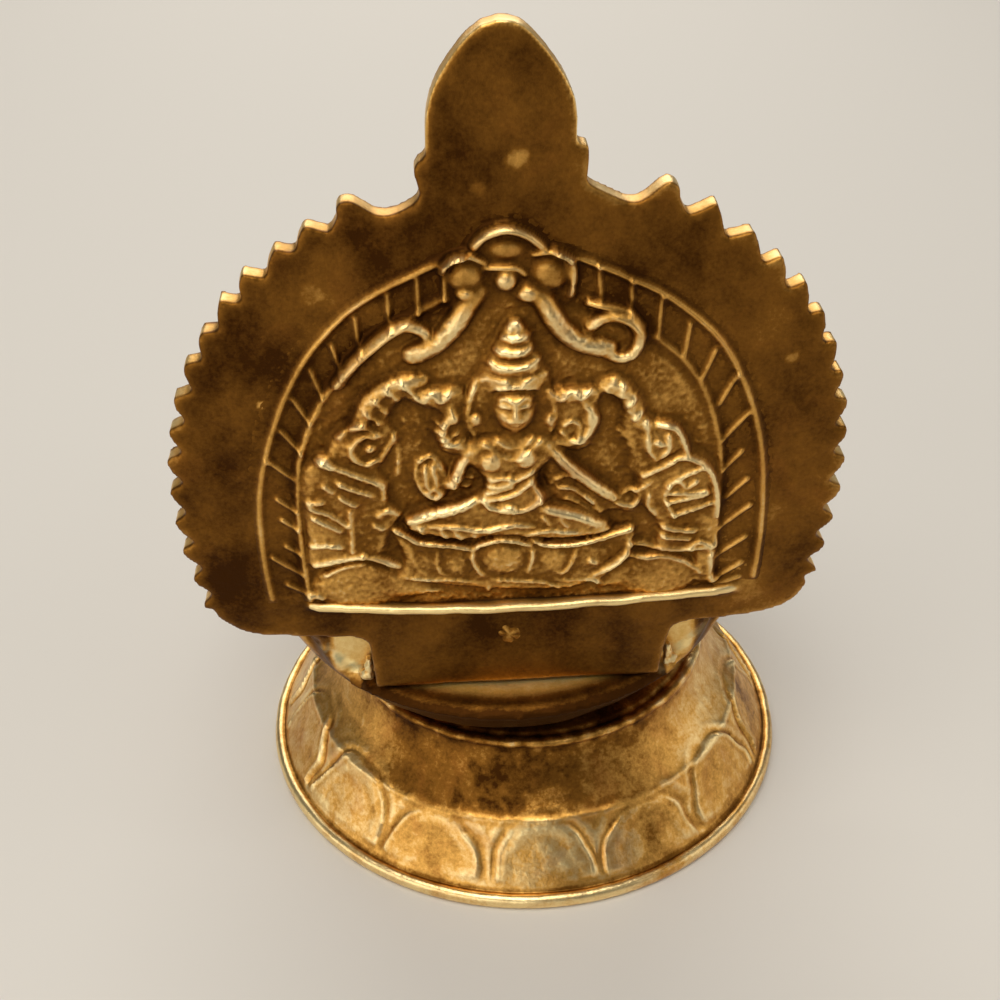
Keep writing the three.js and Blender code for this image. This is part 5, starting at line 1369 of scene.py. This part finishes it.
def make_rivet():
    """The rivet through the tab, its front end spread with a punch that left star-shaped marks."""
    low, high = box_of("tab_rivet")
    x, z = (low.x + high.x) / 2, (low.z + high.z) / 2
    head = high.y - 0.9
    profile = [(0, low.y + 0.02), (0.45, low.y), (0.9, low.y + 0.06), (1.15, low.y + 0.2),
               (1.2, low.y + 0.45), (1.2, head), (2.0, head), (1.98, head + 0.3), (1.7, head + 0.65),
               (1.1, head + 0.86), (0, high.y)]
    rivet = chain("staked_rivet", [(x + r, y, z) for r, y in profile])
    swept(rivet, RIVET_STEPS, (x, 0, z), (0, 1, 0))
    points = points_of(rivet)
    turn = np.arctan2(points[:, 2] - z, points[:, 0] - x)
    out = np.hypot(points[:, 2] - z, points[:, 0] - x)
    end = points[:, 1] < low.y + 0.3
    star = (0.5 + 0.5 * np.cos(5 * turn + 1.4 * np.sin(2 * turn + 1))) ** 2
    star *= eased(out, 0.1, 0.6) * (1 - 0.5 * eased(out, 0.8, 1.2)) * end
    points[:, 1] += 0.13 * star + 0.05 * (1 + waves(points, 0.8, 77)) * end
    set_points(rivet, points)
    wear(rivet, rub=0.2 - 0.6 * star + 0.5 * waves(points, 0.7, 78), stain=0.16)
    finish_piece(rivet, bpy.data.materials["brown_cast_brass"], "rivet_brass", 40, "tab_rivet")


def make_seam(side, out, metal):
    """A seam of braze at the tab's corner: beads run together. out is -1 on the left and 1 on the right."""
    low, high = box_of("braze_" + side)
    wide = high.x - low.x
    foot = high.x if out < 0 else low.x
    drops = []
    for across, up, deep, width, height in BEADS:
        start()
        bpy.ops.mesh.primitive_uv_sphere_add(segments=24, ring_count=16, radius=1)
        place = (foot + out * (0.35 + across * wide * 0.6), high.y - deep - 0.1, low.z + 0.2 + up)
        drops.append(fitted(bpy.context.object, (width, 0.62, height), place))
    seam = merged("braze_seam_" + side, drops)
    softened(seam, BRAZE_CELL, 2)
    uneven(seam, (1.2, 0.10, 71 + out), (0.5, 0.04, 73 + out))
    points = np.clip(points_of(seam), np.array(low) + 0.01, np.array(high) - 0.01)
    set_points(seam, points)
    salt = eased(waves(points, 1.3, 75 + out), 0.2, 0.7) * 0.5
    wear(seam, rub=bends(seam, 2, 0.6), stain=0.1 if out < 0 else 0.2, salt=salt)
    finish_piece(seam, metal, "braze", 80, "braze_" + side)


class LAMP_OT_fittings(bpy.types.Operator):
    """Add the peg's washer, the rivet through the tab and the seams of braze"""
    bl_idname = "lamp.fittings"
    bl_label = "Washer, rivet and braze"

    def execute(self, context):
        make_washer()
        make_rivet()
        # Rough and pale, with a scattered glint and grey-green salts in its pits.
        bead = cast_brass("bright_braze", level=0.86, rub=0.35, roughness=(0.6, 0.42), grain=0.05)
        make_seam("left", -1, bead)
        make_seam("right", 1, bead)
        return {"FINISHED"}


# Stage

# Each lamp: place and aim, width and height, and radiance.
LAMPS = (
    ("above", (-0.08, -0.20, 0.56), (0, 0, 0.05), 0.45, 0.45, 3.4),
    ("back", (0.0, 0.46, 0.38), (0, 0, 0.06), 0.50, 0.50, 2.2),
    ("low_left", (-0.42, -0.40, 0.15), (0, 0, 0.03), 1.10, 0.30, 1.6),
    ("low_right", (0.52, -0.12, 0.20), (0, 0, 0.03), 0.60, 0.38, 0.9),
)
LAMP_COLOUR, ROOM_COLOUR, ROOM_STRENGTH = "#fff9f0", "#fffcf8", 0.15

# Camera: lens and sensor, how far away and how high it stands in millimetres, and in degrees how far
# round the lamp it stands, how far it is turned from facing the foot, looks down and leans.
CAMERA_LENS, CAMERA_SENSOR = 50.4, 36
CAMERA_AWAY, CAMERA_HIGH = 125.77, 119.04
CAMERA_ROUND, CAMERA_TURN, CAMERA_DOWN, CAMERA_ROLL = -4.43, 1.14, 34.8, -0.73


def hang_lamp(name, place, aim, wide, tall, radiance):
    """A soft lamp that gives each part of its face the same radiance."""
    bpy.ops.object.light_add(type="AREA", location=place)
    lamp = bpy.context.object
    lamp.name = name
    lamp.data.shape = "RECTANGLE"
    lamp.data.size, lamp.data.size_y = wide, tall
    lamp.data.energy = radiance * math.pi * wide * tall
    lamp.data.color = hexed(LAMP_COLOUR)
    lamp.rotation_euler = (Vector(aim) - Vector(place)).to_track_quat("-Z", "Y").to_euler()


def set_camera():
    """Stands the camera where the lamp is seen from above its front, a little from the left."""
    bpy.ops.object.camera_add()
    camera = bpy.context.object
    camera.name = "camera"
    camera.data.lens, camera.data.sensor_width = CAMERA_LENS, CAMERA_SENSOR
    turn, down, roll = (math.radians(a) for a in (CAMERA_ROUND + CAMERA_TURN, CAMERA_DOWN, CAMERA_ROLL))
    ahead = np.array([-math.sin(turn) * math.cos(down), math.cos(turn) * math.cos(down), -math.sin(down)])
    right = np.cross(ahead, (0, 0, 1))
    right /= np.linalg.norm(right)
    up = np.cross(right, ahead)
    right, up = (right * math.cos(roll) + up * math.sin(roll), up * math.cos(roll) - right * math.sin(roll))
    stand = math.radians(CAMERA_ROUND)
    place = np.array([
        FOOT_X + math.sin(stand) * CAMERA_AWAY, FOOT_Y - math.cos(stand) * CAMERA_AWAY, CAMERA_HIGH]) * MM
    camera.matrix_world = Matrix([
        [right[i], up[i], -ahead[i], place[i]] for i in range(3)] + [[0, 0, 0, 1]])
    camera.data.clip_start = 0.005
    bpy.context.scene.camera = camera


class LAMP_OT_stage(bpy.types.Operator):
    """Lay the pale floor, hang the soft lamps and set the camera"""
    bl_idname = "lamp.stage"
    bl_label = "Stage"

    def execute(self, context):
        start()
        bpy.ops.mesh.primitive_plane_add(size=6)
        floor = context.object
        floor.name = "floor"
        coat(floor, matt_paint("pale_floor", context.scene.lamp_colours.floor, 0.7))
        world = bpy.data.worlds.new("soft_room")
        context.scene.world = world
        world.use_nodes = True
        background = world.node_tree.nodes["Background"]
        background.inputs["Color"].default_value = (*hexed(ROOM_COLOUR), 1)
        background.inputs["Strength"].default_value = ROOM_STRENGTH
        for lamp in LAMPS:
            hang_lamp(*lamp)
        set_camera()
        context.scene.view_settings.view_transform = "Standard"
        return {"FINISHED"}


class LAMP_PT_panel(bpy.types.Panel):
    """The lamp's sizes, colours and steps"""
    bl_idname = "LAMP_PT_panel"
    bl_label = "Brass oil lamp"
    bl_space_type = "VIEW_3D"
    bl_region_type = "UI"
    bl_category = "Lamp"

    def draw(self, context):
        for group in (context.scene.lamp_sizes, context.scene.lamp_colours):
            for key in group.__annotations__:
                self.layout.prop(group, key)
        for step in STEPS:
            self.layout.operator(step.bl_idname)


STEPS = (LAMP_OT_foot, LAMP_OT_bowl, LAMP_OT_back_plate, LAMP_OT_relief, LAMP_OT_fittings, LAMP_OT_stage)
CLASSES = (LampSizes, LampColours, *STEPS, LAMP_PT_panel)


def register():
    for cls in CLASSES:
        bpy.utils.register_class(cls)
    bpy.types.Scene.lamp_sizes = bpy.props.PointerProperty(type=LampSizes)
    bpy.types.Scene.lamp_colours = bpy.props.PointerProperty(type=LampColours)


def unregister():
    del bpy.types.Scene.lamp_colours
    del bpy.types.Scene.lamp_sizes
    for cls in reversed(CLASSES):
        bpy.utils.unregister_class(cls)


def main():
    register()
    for step in STEPS:
        group, name = step.bl_idname.split(".")
        getattr(getattr(bpy.ops, group), name)()


if __name__ == "__main__":
    main()
